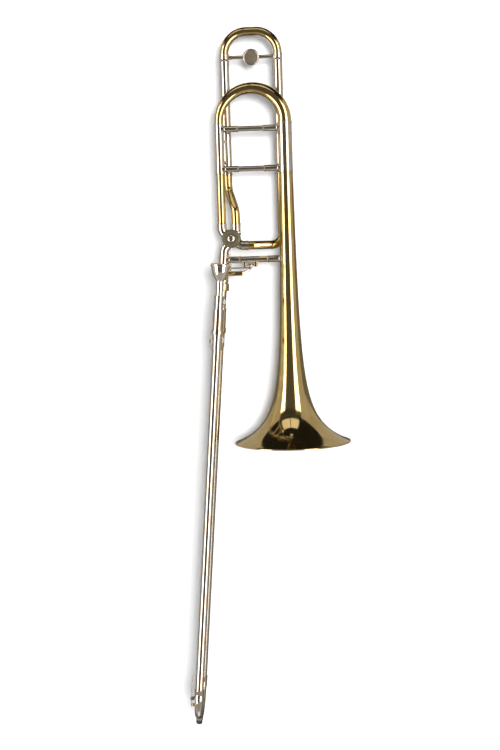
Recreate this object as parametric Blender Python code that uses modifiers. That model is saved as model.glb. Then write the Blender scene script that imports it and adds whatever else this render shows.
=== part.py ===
"""Tenor trombone with an F attachment, built as its separate pieces.

Metres, +Z up along the bell's axis, the bell opening downwards. The origin is the middle of
the brace that the left hand grips, between the two inner slide tubes. -Y is the mouthpiece
side, +X the bell side. The slide section hangs at a small angle to the bell section.
"""

import math

import bpy
import bmesh
from mathutils import Matrix, Vector

# Clearances and facets
GAP = 0.0003
SIDES = 16
FINE_SIDES = 20
BELL_SIDES = 32
CUTTER_SIDES = 24
CUTTER_REACH = 0.02

# How the two sections meet
SLIDE_TILT = math.radians(4.7)
TUBE_SPACING = 0.080
HAND_BRACE_DROP = 0.027

# Hand slide tubes, heights from the neck joint along the slide
BORE_RADIUS = 0.00665
INNER_TUBE_WALL = 0.0003
STOCKING_STEP = 0.0001
STOCKING_LENGTH = 0.120
OUTER_TUBE_WALL = 0.00035
OUTER_TUBE_END = -0.747
INNER_TUBE_SETBACK = 0.007
BARREL_TOP = -0.038
BARREL_LENGTH = 0.0473
BARREL_WALL = 0.0012
BARREL_CAP = 0.004
FELT_ROOM = 0.006
LOCK_GROOVE_TOP = -0.075
LOCK_GROOVE_DEPTH = 0.0005
LOCK_RING_HEIGHT = 0.0088
LOCK_RING_WALL = 0.0018
SLEEVE_WALL = 0.0006
SLEEVE_LENGTH = 0.026
GRIP_DROP = 0.098
GRIP_RADIUS = 0.0046
HAND_BRACE_RADIUS = 0.0046

# Bow, bumper and water key
FERRULE_WALL = 0.0008
FERRULE_LENGTH = 0.020
BOW_WALL = 0.0006
BUMPER_RADIUS = 0.0060
BUMPER_HEIGHT = 0.0080
BUMPER_TIP_RADIUS = 0.0032
BUMPER_CUP_HEIGHT = 0.0042
KEY_PIVOT_RISE = 0.0027
KEY_PIVOT_REACH = 0.0135
KEY_PIN_RADIUS = 0.0010
KEY_BARREL_RADIUS = 0.0026
KEY_WIDTH = 0.0056
KEY_THICKNESS = 0.0012
KEY_ARM_LENGTH = 0.0415
NIPPLE_DROP = 0.0125
NIPPLE_RADIUS = 0.0030
NIPPLE_HEIGHT = 0.0026
CORK_HEIGHT = 0.0022

# Mouthpiece and its receiver
RECEIVER_MOUTH = -0.0143
RECEIVER_WALL = 0.00065
RIM_HEIGHT = 0.0573
RIM_RADIUS = 0.0186
CUP_RIM_RADIUS = 0.0126
CUP_DEPTH = 0.0245
CUP_LENGTH = 0.0325
THROAT_RADIUS = 0.0034
SHANK_RADIUS = 0.00635
SHANK_TIP_RADIUS = 0.0061
SHANK_INSERT = 0.024
LEADPIPE_WALL = 0.0004
LEADPIPE_LENGTH = 0.200

# Neck joint
TENON_TIP_RADIUS = 0.0073
TENON_RADIUS = 0.0077
TENON_HEIGHT = 0.026
TENON_COLLAR_RADIUS = 0.0090
TENON_COLLAR_HEIGHT = 0.0032
NUT_RADIUS = 0.0120
NUT_HALF_HEIGHT = 0.0075
NUT_LIP_HEIGHT = 0.0030
THREAD_RADIUS = 0.0090
NECK_RECEIVER_RADIUS = 0.0098
NECK_RECEIVER_HEIGHT = 0.032
NECKPIPE_RADIUS = 0.0084
NECKPIPE_WALL = 0.0005

# Bell
BELL_LIP_Z = -0.2913
BELL_RIM_RADIUS = 0.1079
BELL_STEM_RADIUS = 0.0115
BELL_STEM_TAPER = 0.006
BELL_FLARE_DEPTH = 0.0775
BELL_FLARE_POWER = 2.1
BELL_WALL = 0.0006
BELL_RINGS = 12
RIM_WIRE_RADIUS = 0.0012

# Main tuning slide
NECK_LEG_X = 0.0025
TUNING_SPAN = 0.120
LEG_RADIUS = 0.0075
LEG_WALL = 0.0005
RECEIVERS_Z = 0.206
RECEIVER_LENGTH = 0.069
TUBE_WALL = 0.0005
LEFT_RECEIVER_RADIUS = 0.0081
RIGHT_RECEIVER_RADIUS = 0.0131
TUNING_FERRULE_LENGTH = 0.023
TUNING_LEG_INSERT = 0.058
CROOK_SMALL_RADIUS = 0.0076
CROOK_LARGE_RADIUS = 0.0124
BRACE_RADIUS = 0.0047
SOCKET_RADIUS = 0.0054
SOCKET_LENGTH = 0.025
RECEIVER_BRACE_Z = 0.215
TUNING_BRACE_RISE = 0.0125

# F attachment tubing, in a plane behind the main tubing
F_PLANE_Y = 0.025
F_LEFT_X = 0.0148
F_SPAN = 0.098
F_TUBE_RADIUS = 0.0077
F_RECEIVER_RADIUS = 0.0083
F_RECEIVER_LENGTH = 0.205
F_LEG_INSERT = 0.120
F_FERRULE_LENGTH = 0.0145
F_CROOK_CORNER = 0.040
F_BRACE_RADIUS = 0.0031
F_BRACE_RISE = 0.0085
MEDALLION_RADIUS = 0.0148
MEDALLION_THICKNESS = 0.0042
STAY_RADIUS = 0.0030
STAY_HEIGHTS = (0.228, 0.266)

# Rotary valve, its axis along Y
VALVE_X = 0.0201
VALVE_Z = 0.0879
CASING_RADIUS = 0.0160
CASING_WALL = 0.0017
CASING_HALF_LENGTH = 0.019
PORT_TURN = math.radians(8)
PORT_RADIUS = 0.0052
KNUCKLE_RADIUS = 0.0082
KNUCKLE_WALL = 0.0006
KNUCKLE_TOP_Z = 0.116
KNUCKLE_BEND = 0.014
FEED_X = 0.0083
RETURN_DROP = 0.0126
RETURN_KNUCKLE_REACH = 0.030
RETURN_BEND = 0.022
ROTOR_STEM_RADIUS = 0.0030
PLATE_THICKNESS = 0.004
CAP_THICKNESS = 0.006
CAP_OVERHANG = 0.0007
OIL_CAP_RADIUS = 0.0073
STOP_PLATE_THICKNESS = 0.0022
STOP_ARM_THICKNESS = 0.0034
STOP_RADIUS = 0.011
STOP_BUMPER_RADIUS = 0.0022
LUG_HALF_WIDTH = 0.0018
CRANK_RADIUS = 0.0085

# Bell brace, thumb lever and link
BELL_BRACE_Z = 0.0495
BELL_BRACE_RADIUS = 0.0056
BELL_SOCKET_RADIUS = 0.0061
BELL_SOCKET_LENGTH = 0.022
LEVER_POST_X = (0.0420, 0.0622)
LEVER_POST_WIDTH = 0.0046
LEVER_POST_DEPTH = 0.0070
LEVER_PIVOT_DROP = 0.0097
LEVER_SCREW_RADIUS = 0.0013
LEVER_BARREL_RADIUS = 0.0029
LEVER_ROD_RADIUS = 0.0015
LEVER_ARM_LENGTH = 0.028
LEVER_SWING = math.radians(24.75)
BALL_RADIUS = 0.0022
PADDLE_LENGTH = 0.031
PADDLE_HEIGHT = 0.0088
PADDLE_THICKNESS = 0.0030
PADDLE_Y = -0.020
PADDLE_DROP = 0.0155
LINK_RADIUS = 0.0012
EYE_WIRE_RADIUS = 0.0010

# Sizes worked out from the driving ones
INNER_TUBE_RADIUS = BORE_RADIUS + INNER_TUBE_WALL
INNER_TUBE_END = OUTER_TUBE_END + INNER_TUBE_SETBACK
OUTER_TUBE_BORE = INNER_TUBE_RADIUS + STOCKING_STEP + GAP
OUTER_TUBE_RADIUS = OUTER_TUBE_BORE + OUTER_TUBE_WALL
BARREL_BORE = OUTER_TUBE_RADIUS + GAP
BARREL_RADIUS = BARREL_BORE + BARREL_WALL
BARREL_BOTTOM = BARREL_TOP - BARREL_LENGTH
TUBE_COLLAR_BORE = INNER_TUBE_RADIUS + GAP
RECEIVER_RADIUS = TUBE_COLLAR_BORE + RECEIVER_WALL
SLEEVE_BORE = OUTER_TUBE_RADIUS + GAP
SLEEVE_RADIUS = SLEEVE_BORE + SLEEVE_WALL
SLEEVE_TOP = BARREL_BOTTOM - GAP
OUTER_TUBE_TOP = BARREL_TOP - BARREL_CAP - FELT_ROOM - 3 * GAP
FERRULE_TOP = OUTER_TUBE_END + FERRULE_LENGTH * 0.45
FERRULE_BOTTOM = FERRULE_TOP - FERRULE_LENGTH
BOW_CENTRE_Z = FERRULE_BOTTOM
KEY_PIVOT_Z = FERRULE_BOTTOM + KEY_PIVOT_RISE
BOW_BOTTOM_Z = BOW_CENTRE_Z - TUBE_SPACING / 2 - OUTER_TUBE_RADIUS
SHANK_TIP_Z = RECEIVER_MOUTH - SHANK_INSERT
BELL_X = NECK_LEG_X + TUNING_SPAN
BELL_LENGTH = RECEIVERS_Z - GAP - BELL_LIP_Z
RECEIVERS_TOP = RECEIVERS_Z + RECEIVER_LENGTH
CROOK_BASE_Z = RECEIVERS_TOP + GAP + TUNING_FERRULE_LENGTH
F_RIGHT_X = F_LEFT_X + F_SPAN
F_RECEIVER_TOP = RECEIVERS_Z + F_RECEIVER_LENGTH
F_CROOK_BASE_Z = F_RECEIVER_TOP + GAP + F_FERRULE_LENGTH
ROTOR_RADIUS = CASING_RADIUS - CASING_WALL - GAP
CASING_BORE = CASING_RADIUS - CASING_WALL
RETURN_Z = VALVE_Z - RETURN_DROP
LEVER_PIVOT_Z = BELL_BRACE_Z - LEVER_PIVOT_DROP
BALL_RISE = LEVER_ARM_LENGTH * math.sin(LEVER_SWING / 2)
BALL_Z = LEVER_PIVOT_Z - BALL_RISE
BALL_Y = LEVER_ARM_LENGTH * math.cos(LEVER_SWING / 2)
CRANK_X = VALVE_X - CRANK_RADIUS * math.cos(math.pi / 4)
CRANK_Z = VALVE_Z - CRANK_RADIUS * math.sin(math.pi / 4)
REAR_FACE_Y = CASING_HALF_LENGTH + GAP + STOP_PLATE_THICKNESS
STOP_ARM_Y = REAR_FACE_Y + 2 * GAP
STEM_END_Y = STOP_ARM_Y + STOP_ARM_THICKNESS

# Directions as rotations
UPRIGHT = (0.0, 0.0, 0.0)
FACING_FRONT = (math.pi / 2, 0.0, 0.0)
FACING_BACK = (-math.pi / 2, 0.0, 0.0)
FACING_RIGHT = (0.0, math.pi / 2, 0.0)

# Finishes: colour, metallic, roughness
FINISHES = {
    "lacquered_brass": ((0.72, 0.53, 0.20), 1.0, 0.16),
    "nickel_silver": ((0.66, 0.61, 0.54), 1.0, 0.18),
    "silver_plate": ((0.86, 0.84, 0.82), 1.0, 0.10),
    "bare_brass": ((0.80, 0.60, 0.25), 1.0, 0.30),
    "steel": ((0.55, 0.55, 0.56), 1.0, 0.30),
    "etched_nickel": ((0.36, 0.33, 0.24), 1.0, 0.50),
    "rubber": ((0.02, 0.02, 0.02), 0.0, 0.60),
    "cork": ((0.55, 0.38, 0.22), 0.0, 0.90),
}


def clear_scene():
    """Removes what a new Blender file holds."""
    for obj in list(bpy.data.objects):
        bpy.data.objects.remove(obj, do_unlink=True)


def new_collection(name):
    """Makes a collection in the scene."""
    group = bpy.data.collections.new(name)
    bpy.context.scene.collection.children.link(group)
    return group


clear_scene()
PARTS = new_collection("tenor_trombone")
CUTTERS = new_collection("cutters")


def frame_empty(name, rotation):
    """Makes an empty at the neck joint, turned as one of the sections is."""
    rise = Vector((0.0, TUBE_SPACING / 2, HAND_BRACE_DROP))
    empty = bpy.data.objects.new(name, None)
    CUTTERS.objects.link(empty)
    empty.hide_render = True
    empty.location = Matrix.Rotation(SLIDE_TILT, 3, "Y") @ rise
    empty.rotation_euler = rotation
    return empty


SLIDE = frame_empty("slide_frame", (0.0, SLIDE_TILT, 0.0))
BELL = frame_empty("bell_frame", UPRIGHT)


def finish_material(name, finish):
    """Makes the sub-part's own Principled material."""
    colour, metallic, roughness = FINISHES[finish]
    material = bpy.data.materials.new(name + "_" + finish)
    material.use_nodes = True
    shader = material.node_tree.nodes["Principled BSDF"]
    shader.inputs["Base Color"].default_value = (*colour, 1.0)
    shader.inputs["Metallic"].default_value = metallic
    shader.inputs["Roughness"].default_value = roughness
    return material


def add_part(name, mesh, finish, parent, location=(0, 0, 0), rotation=UPRIGHT):
    """Adds a sub-part, or a helper where it has no finish."""
    obj = bpy.data.objects.new(name, mesh)
    obj.parent = parent
    obj.location = location
    obj.rotation_euler = rotation
    if finish is None:
        CUTTERS.objects.link(obj)
        obj.hide_render = True
        obj.display_type = "WIRE"
    else:
        PARTS.objects.link(obj)
        mesh.materials.append(finish_material(name, finish))
    return obj


def turned(name, outline, finish, parent, location=(0, 0, 0), rotation=UPRIGHT, sides=SIDES):
    """Turns an outline of (radius, height) points, given top to bottom, about its Z axis."""
    closed = outline[0][0] > 0
    points = [(radius, 0.0, height) for radius, height in outline]
    edges = [(index, index + 1) for index in range(len(points) - 1)]
    if closed:
        edges.append((len(points) - 1, 0))
    mesh = bpy.data.meshes.new(name)
    mesh.from_pydata(points, edges, [])
    obj = add_part(name, mesh, finish, parent, location, rotation)
    screw = obj.modifiers.new("turn", "SCREW")
    screw.axis = "Z"
    screw.angle = 2 * math.pi
    screw.steps = sides
    screw.render_steps = sides
    screw.use_merge_vertices = True
    screw.merge_threshold = 0.00001
    screw.use_smooth_shade = True
    return obj


def pipe(outer, inner, top, bottom):
    """Outline of a plain pipe."""
    return [(outer, top), (outer, bottom), (inner, bottom), (inner, top)]


def rod(radius, top, bottom):
    """Outline of a plain solid rod."""
    return [(0.0, top), (radius, top), (radius, bottom), (0.0, bottom)]


def cut(obj, *tools, operation="DIFFERENCE"):
    """Cuts or joins the helpers to a sub-part."""
    for tool in tools:
        boolean = obj.modifiers.new(tool.name, "BOOLEAN")
        boolean.operation = operation
        boolean.solver = "EXACT"
        boolean.object = tool
    return obj


def join(obj, *tools):
    """Joins helpers to a sub-part, as solder would."""
    return cut(obj, *tools, operation="UNION")


def aim(start, end):
    """Rotation that turns +Z towards the end point."""
    direction = Vector(end) - Vector(start)
    return direction.to_track_quat("Z", "Y").to_euler()


def bar(name, radius, start, end, finish, parent, sides=SIDES):
    """A round bar between two points."""
    length = (Vector(end) - Vector(start)).length
    return turned(name, rod(radius, length, 0.0), finish, parent, start, aim(start, end), sides)


def cutter_bar(name, radius, start, end, parent):
    """A helper as wide as a tube and its gap."""
    return bar(name, radius + GAP, start, end, None, parent, CUTTER_SIDES)


def ball(name, radius, centre, finish, parent):
    """A ball."""
    shape = bmesh.new()
    bmesh.ops.create_uvsphere(shape, u_segments=12, v_segments=6, radius=radius)
    mesh = bpy.data.meshes.new(name)
    shape.to_mesh(mesh)
    shape.free()
    return add_part(name, mesh, finish, parent, centre)


def block(name, size, centre, finish, parent, edge=0.0, rotation=UPRIGHT):
    """A block with rounded edges."""
    shape = bmesh.new()
    bmesh.ops.create_cube(shape, size=1.0)
    bmesh.ops.scale(shape, vec=size, verts=shape.verts)
    mesh = bpy.data.meshes.new(name)
    shape.to_mesh(mesh)
    shape.free()
    obj = add_part(name, mesh, finish, parent, centre, rotation)
    if edge > 0:
        bevel = obj.modifiers.new("edge", "BEVEL")
        bevel.width = edge
        bevel.segments = 2
    return obj


def rounded_route(corners, bends, steps=6):
    """Points of a route whose inner corners are arcs of the given radii."""
    points = [Vector(corners[0])]
    for index, bend in enumerate(bends, start=1):
        corner = Vector(corners[index])
        before = (Vector(corners[index - 1]) - corner).normalized()
        after = (Vector(corners[index + 1]) - corner).normalized()
        half = before.angle(after) / 2
        centre = corner + (before + after).normalized() * bend / math.sin(half)
        start = corner + before * bend / math.tan(half) - centre
        end = corner + after * bend / math.tan(half) - centre
        turn = start.angle(end)
        for step in range(steps + 1):
            share = step / steps
            swing = start * math.sin((1 - share) * turn) + end * math.sin(share * turn)
            points.append(centre + swing / math.sin(turn))
    points.append(Vector(corners[-1]))
    return points


def half_ring(centre, radius, steps=10):
    """Points of an upright half circle from its left foot over the top to its right foot."""
    points = []
    for step in range(steps + 1):
        angle = math.pi * step / steps
        offset = (-radius * math.cos(angle), 0.0, radius * math.sin(angle))
        points.append(Vector(centre) + Vector(offset))
    return points


def bent_tube(name, route, radius, wall, finish, parent, end_radius=None, roundness=4):
    """A tube along a route; it is solid where the wall is zero, and it may grow to its end."""
    curve = bpy.data.curves.new(name, "CURVE")
    curve.dimensions = "3D"
    curve.bevel_depth = radius
    curve.bevel_resolution = roundness
    curve.use_fill_caps = wall == 0
    spline = curve.splines.new("POLY")
    spline.points.add(len(route) - 1)
    growth = 0.0 if end_radius is None else end_radius / radius - 1
    for index, point in enumerate(route):
        spline.points[index].co = (*point, 1.0)
        share = min(max((index - 1) / (len(route) - 3), 0.0), 1.0) if growth else 0.0
        spline.points[index].radius = 1 + growth * share
    sketch = bpy.data.objects.new(name + "_sketch", curve)
    CUTTERS.objects.link(sketch)
    bpy.context.view_layer.update()
    solid = sketch.evaluated_get(bpy.context.evaluated_depsgraph_get())
    mesh = bpy.data.meshes.new_from_object(solid)
    bpy.data.objects.remove(sketch, do_unlink=True)
    mesh.materials.clear()
    shape = bmesh.new()
    shape.from_mesh(mesh)
    bmesh.ops.remove_doubles(shape, verts=shape.verts, dist=0.00001)
    shape.to_mesh(mesh)
    shape.free()
    mesh.shade_smooth()
    obj = add_part(name, mesh, finish, parent)
    if wall > 0:
        solidify = obj.modifiers.new("wall", "SOLIDIFY")
        solidify.thickness = wall
        solidify.offset = -1.0
    return obj


def brace(name, start, end, ends, radius, socket, length, finish, parent):
    """A soldered brace between two tube axes; ends are the radii of the two tubes it meets."""
    span = (Vector(end) - Vector(start)).length
    foot = min(socket * 1.35, min(ends) - GAP)
    low, high = ends[0], span - ends[1]
    bead = socket * 1.08
    outline = [(0.0, span), (foot, span), (foot, high - 0.0008), (socket, high - 0.0036)]
    outline += [(socket, high - length), (bead, high - length - 0.0004)]
    outline += [(bead, high - length - 0.0016), (radius, high - length - 0.0020)]
    outline += [(radius, low + length + 0.0020), (bead, low + length + 0.0016)]
    outline += [(bead, low + length + 0.0004), (socket, low + length)]
    outline += [(socket, low + 0.0036), (foot, low + 0.0008), (foot, 0.0), (0.0, 0.0)]
    return turned(name, outline, finish, parent, start, aim(start, end))


def helix(centre, radius, pitch, turns, steps=12):
    """Points of a coil whose axis is X."""
    points = []
    for step in range(int(turns * steps) + 1):
        angle = 2 * math.pi * step / steps
        offset = (pitch * step / steps, radius * math.cos(angle), radius * math.sin(angle))
        points.append(Vector(centre) + Vector(offset))
    return points


def eye_ring(name, hole, wire, centre, rotation, finish, parent):
    """A round eye of wire, turned from a circle, its axis along its own Z."""
    outline = []
    for step in range(6):
        angle = 2 * math.pi * step / 6
        reach = hole + wire + wire * math.cos(angle)
        outline.append((reach, -wire * math.sin(angle)))
    return turned(name, outline, finish, parent, centre, rotation)


def tube_at(y, z):
    """A point of the slide frame on one of the two slide tubes."""
    return (0.0, y, z)


FRONT = -TUBE_SPACING
REAR = 0.0


def build_inner_slide():
    """Inner tubes with their barrels, the gripped brace and the tenon."""
    stocking = INNER_TUBE_RADIUS + STOCKING_STEP
    stocking_top = INNER_TUBE_END + STOCKING_LENGTH
    tube_top = RECEIVER_MOUTH - SHANK_INSERT * 0.65
    rear_top = -GAP - TENON_COLLAR_HEIGHT - 0.006
    for name, y, top in (("upper_inner_tube", FRONT, tube_top), ("lower_inner_tube", REAR, rear_top)):
        outline = [(INNER_TUBE_RADIUS, top), (INNER_TUBE_RADIUS, stocking_top + 0.001)]
        outline += [(stocking, stocking_top), (stocking, INNER_TUBE_END)]
        outline += [(BORE_RADIUS, INNER_TUBE_END), (BORE_RADIUS, top)]
        turned(name, outline, "nickel_silver", SLIDE, tube_at(y, 0.0))

    seat = SHANK_RADIUS + GAP
    seat_end = tube_top + GAP
    outline = [(RECEIVER_RADIUS + 0.0004, RECEIVER_MOUTH), (RECEIVER_RADIUS + 0.0004, RECEIVER_MOUTH - 0.003)]
    outline += [(RECEIVER_RADIUS, RECEIVER_MOUTH - 0.0034), (RECEIVER_RADIUS, BARREL_TOP + GAP)]
    outline += [(TUBE_COLLAR_BORE, BARREL_TOP + GAP), (TUBE_COLLAR_BORE, seat_end)]
    outline += [(seat, seat_end), (seat, RECEIVER_MOUTH)]
    turned("mouthpiece_receiver", outline, "nickel_silver", SLIDE, tube_at(FRONT, 0.0))

    pipe_radius = BORE_RADIUS - GAP
    pipe_top = SHANK_TIP_Z - GAP
    outline = pipe(pipe_radius, pipe_radius - LEADPIPE_WALL, pipe_top, pipe_top - LEADPIPE_LENGTH)
    turned("leadpipe", outline, "bare_brass", SLIDE, tube_at(FRONT, 0.0))

    cap_bottom = BARREL_TOP - BARREL_CAP
    groove = BARREL_RADIUS - LOCK_GROOVE_DEPTH
    groove_end = LOCK_GROOVE_TOP - LOCK_RING_HEIGHT - 2 * GAP
    shoulder = [(RECEIVER_RADIUS + 0.0004, BARREL_TOP), (BARREL_RADIUS, BARREL_TOP - 0.0008)]
    inside = [(BARREL_BORE, BARREL_BOTTOM), (BARREL_BORE, cap_bottom)]
    inside += [(TUBE_COLLAR_BORE, cap_bottom), (TUBE_COLLAR_BORE, BARREL_TOP)]
    grooved = [(BARREL_RADIUS, LOCK_GROOVE_TOP), (groove, LOCK_GROOVE_TOP), (groove, groove_end)]
    grooved += [(BARREL_RADIUS, groove_end), (BARREL_RADIUS, BARREL_BOTTOM)]
    turned("upper_cork_barrel", shoulder + grooved + inside, "nickel_silver", SLIDE, tube_at(FRONT, 0.0))
    band = BARREL_RADIUS + 0.0010
    banded = [(BARREL_RADIUS, LOCK_GROOVE_TOP), (band, LOCK_GROOVE_TOP - 0.0005)]
    banded += [(band, BARREL_BOTTOM + 0.0005), (BARREL_RADIUS, BARREL_BOTTOM)]
    turned("lower_cork_barrel", shoulder + banded + inside, "nickel_silver", SLIDE, tube_at(REAR, 0.0))

    collar_bottom = -GAP - TENON_COLLAR_HEIGHT
    outline = [(TENON_TIP_RADIUS, TENON_HEIGHT), (TENON_RADIUS, -GAP), (TENON_COLLAR_RADIUS, -GAP)]
    outline += [(TENON_COLLAR_RADIUS, collar_bottom), (RECEIVER_RADIUS, collar_bottom)]
    outline += [(RECEIVER_RADIUS, BARREL_TOP + GAP), (TUBE_COLLAR_BORE, BARREL_TOP + GAP)]
    outline += [(TUBE_COLLAR_BORE, rear_top + GAP), (BORE_RADIUS - GAP, rear_top + GAP)]
    outline += [(BORE_RADIUS - GAP, TENON_HEIGHT)]
    turned("slide_tenon", outline, "nickel_silver", SLIDE, tube_at(REAR, 0.0))

    height = -HAND_BRACE_DROP
    cross_brace("hand_brace", height, RECEIVER_RADIUS, HAND_BRACE_RADIUS, "nickel_silver", GAP)


def cross_brace(name, height, tube_radius, radius, finish, clearance):
    """A brace across the two slide tubes at one height, its feet trimmed to the tubes."""
    start, end = tube_at(FRONT, height), tube_at(REAR, height)
    obj = brace(name, start, end, (tube_radius, tube_radius), radius, radius * 1.12, 0.010, finish, SLIDE)
    for side, y in (("front", FRONT), ("rear", REAR)):
        low, high = tube_at(y, height - CUTTER_REACH), tube_at(y, height + CUTTER_REACH)
        reach = tube_radius + clearance
        cut(obj, bar(name + "_" + side + "_cutter", reach, low, high, None, SLIDE, CUTTER_SIDES))
    return obj


def build_neck_joint():
    """The nut on the tenon and the receiver that the tenon enters."""
    lip = RECEIVER_RADIUS + GAP
    nut_bore = THREAD_RADIUS + GAP
    bottom, top = -GAP - TENON_COLLAR_HEIGHT - GAP - NUT_LIP_HEIGHT, NUT_HALF_HEIGHT
    lip_top = bottom + NUT_LIP_HEIGHT
    outline = [(NUT_RADIUS - 0.0012, top), (NUT_RADIUS, top - 0.002), (NUT_RADIUS, bottom + 0.002)]
    outline += [(NUT_RADIUS - 0.0012, bottom), (lip, bottom), (lip, lip_top)]
    outline += [(nut_bore, lip_top), (nut_bore, top)]
    turned("lock_nut", outline, "lacquered_brass", SLIDE, rotation=UPRIGHT)

    shoulder = NUT_HALF_HEIGHT + 0.001
    seat = NECKPIPE_RADIUS + GAP
    seat_bottom = TENON_HEIGHT + 2 * GAP
    outline = [(NECK_RECEIVER_RADIUS - 0.0005, NECK_RECEIVER_HEIGHT)]
    outline += [(NECK_RECEIVER_RADIUS, NECK_RECEIVER_HEIGHT - 0.001)]
    outline += [(NECK_RECEIVER_RADIUS, shoulder), (THREAD_RADIUS, shoulder), (THREAD_RADIUS, 0.0)]
    outline += [(TENON_RADIUS + GAP, 0.0), (TENON_TIP_RADIUS + GAP, TENON_HEIGHT)]
    outline += [(BORE_RADIUS, TENON_HEIGHT + GAP), (BORE_RADIUS, seat_bottom), (seat, seat_bottom)]
    outline += [(seat, NECK_RECEIVER_HEIGHT)]
    turned("neck_receiver", outline, "nickel_silver", SLIDE, rotation=UPRIGHT)


def build_lock_ring():
    """The slide lock ring on the upper barrel, with its finger tab."""
    inner = BARREL_RADIUS - LOCK_GROOVE_DEPTH + GAP
    outer = inner + LOCK_RING_WALL
    top = LOCK_GROOVE_TOP - GAP
    bottom = top - LOCK_RING_HEIGHT
    outline = [(outer - 0.0004, top), (outer, top - 0.0008), (outer, bottom + 0.0008)]
    outline += [(outer - 0.0004, bottom), (inner, bottom), (inner, top)]
    ring = turned("slide_lock_ring", outline, "lacquered_brass", SLIDE, tube_at(FRONT, 0.0), sides=FINE_SIDES)
    tab_x = -(outer + BARREL_RADIUS + 2 * GAP) / 2
    tab_size = (outer - BARREL_RADIUS - 2 * GAP, 0.0060, 0.020)
    tab_z = bottom - 0.006
    tab = block("lock_tab_helper", tab_size, (tab_x, FRONT, tab_z), None, SLIDE)
    knob_start = (-outer + 0.0006, FRONT, tab_z - 0.006)
    knob_end = (-outer - 0.0022, FRONT, tab_z - 0.006)
    knob = bar("lock_knob_helper", 0.0029, knob_start, knob_end, None, SLIDE)
    join(ring, tab, knob)


def build_mouthpiece():
    """The mouthpiece, its shank standing in the receiver."""
    rim_top = RECEIVER_MOUTH + RIM_HEIGHT
    cup_end = rim_top - CUP_LENGTH
    throat = rim_top - CUP_DEPTH
    outline = [(CUP_RIM_RADIUS + 0.0030, rim_top), (RIM_RADIUS - 0.0008, rim_top - 0.0005)]
    outline += [(RIM_RADIUS, rim_top - 0.0020), (RIM_RADIUS - 0.0006, rim_top - 0.0046)]
    outline += [(RIM_RADIUS - 0.0018, rim_top - 0.0066), (RIM_RADIUS - 0.0025, rim_top - 0.0100)]
    outline += [(RIM_RADIUS - 0.0039, rim_top - 0.0155), (RIM_RADIUS - 0.0060, rim_top - 0.0215)]
    outline += [(RIM_RADIUS - 0.0084, rim_top - 0.0268), (RIM_RADIUS - 0.0104, rim_top - 0.0302)]
    outline += [(SHANK_RADIUS + 0.0008, cup_end + 0.0012), (SHANK_RADIUS, cup_end - 0.0010)]
    outline += [(SHANK_RADIUS, RECEIVER_MOUTH), (SHANK_TIP_RADIUS, SHANK_TIP_Z)]
    outline += [(SHANK_TIP_RADIUS - 0.0008, SHANK_TIP_Z), (THROAT_RADIUS, throat - 0.004)]
    outline += [(THROAT_RADIUS, throat + 0.001), (CUP_RIM_RADIUS * 0.42, throat + 0.0035)]
    outline += [(CUP_RIM_RADIUS * 0.66, throat + 0.0075), (CUP_RIM_RADIUS * 0.88, throat + 0.0130)]
    outline += [(CUP_RIM_RADIUS * 0.97, throat + 0.0190), (CUP_RIM_RADIUS + 0.0006, rim_top - 0.0010)]
    turned("mouthpiece", outline, "silver_plate", SLIDE, tube_at(FRONT, 0.0), sides=FINE_SIDES)


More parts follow.
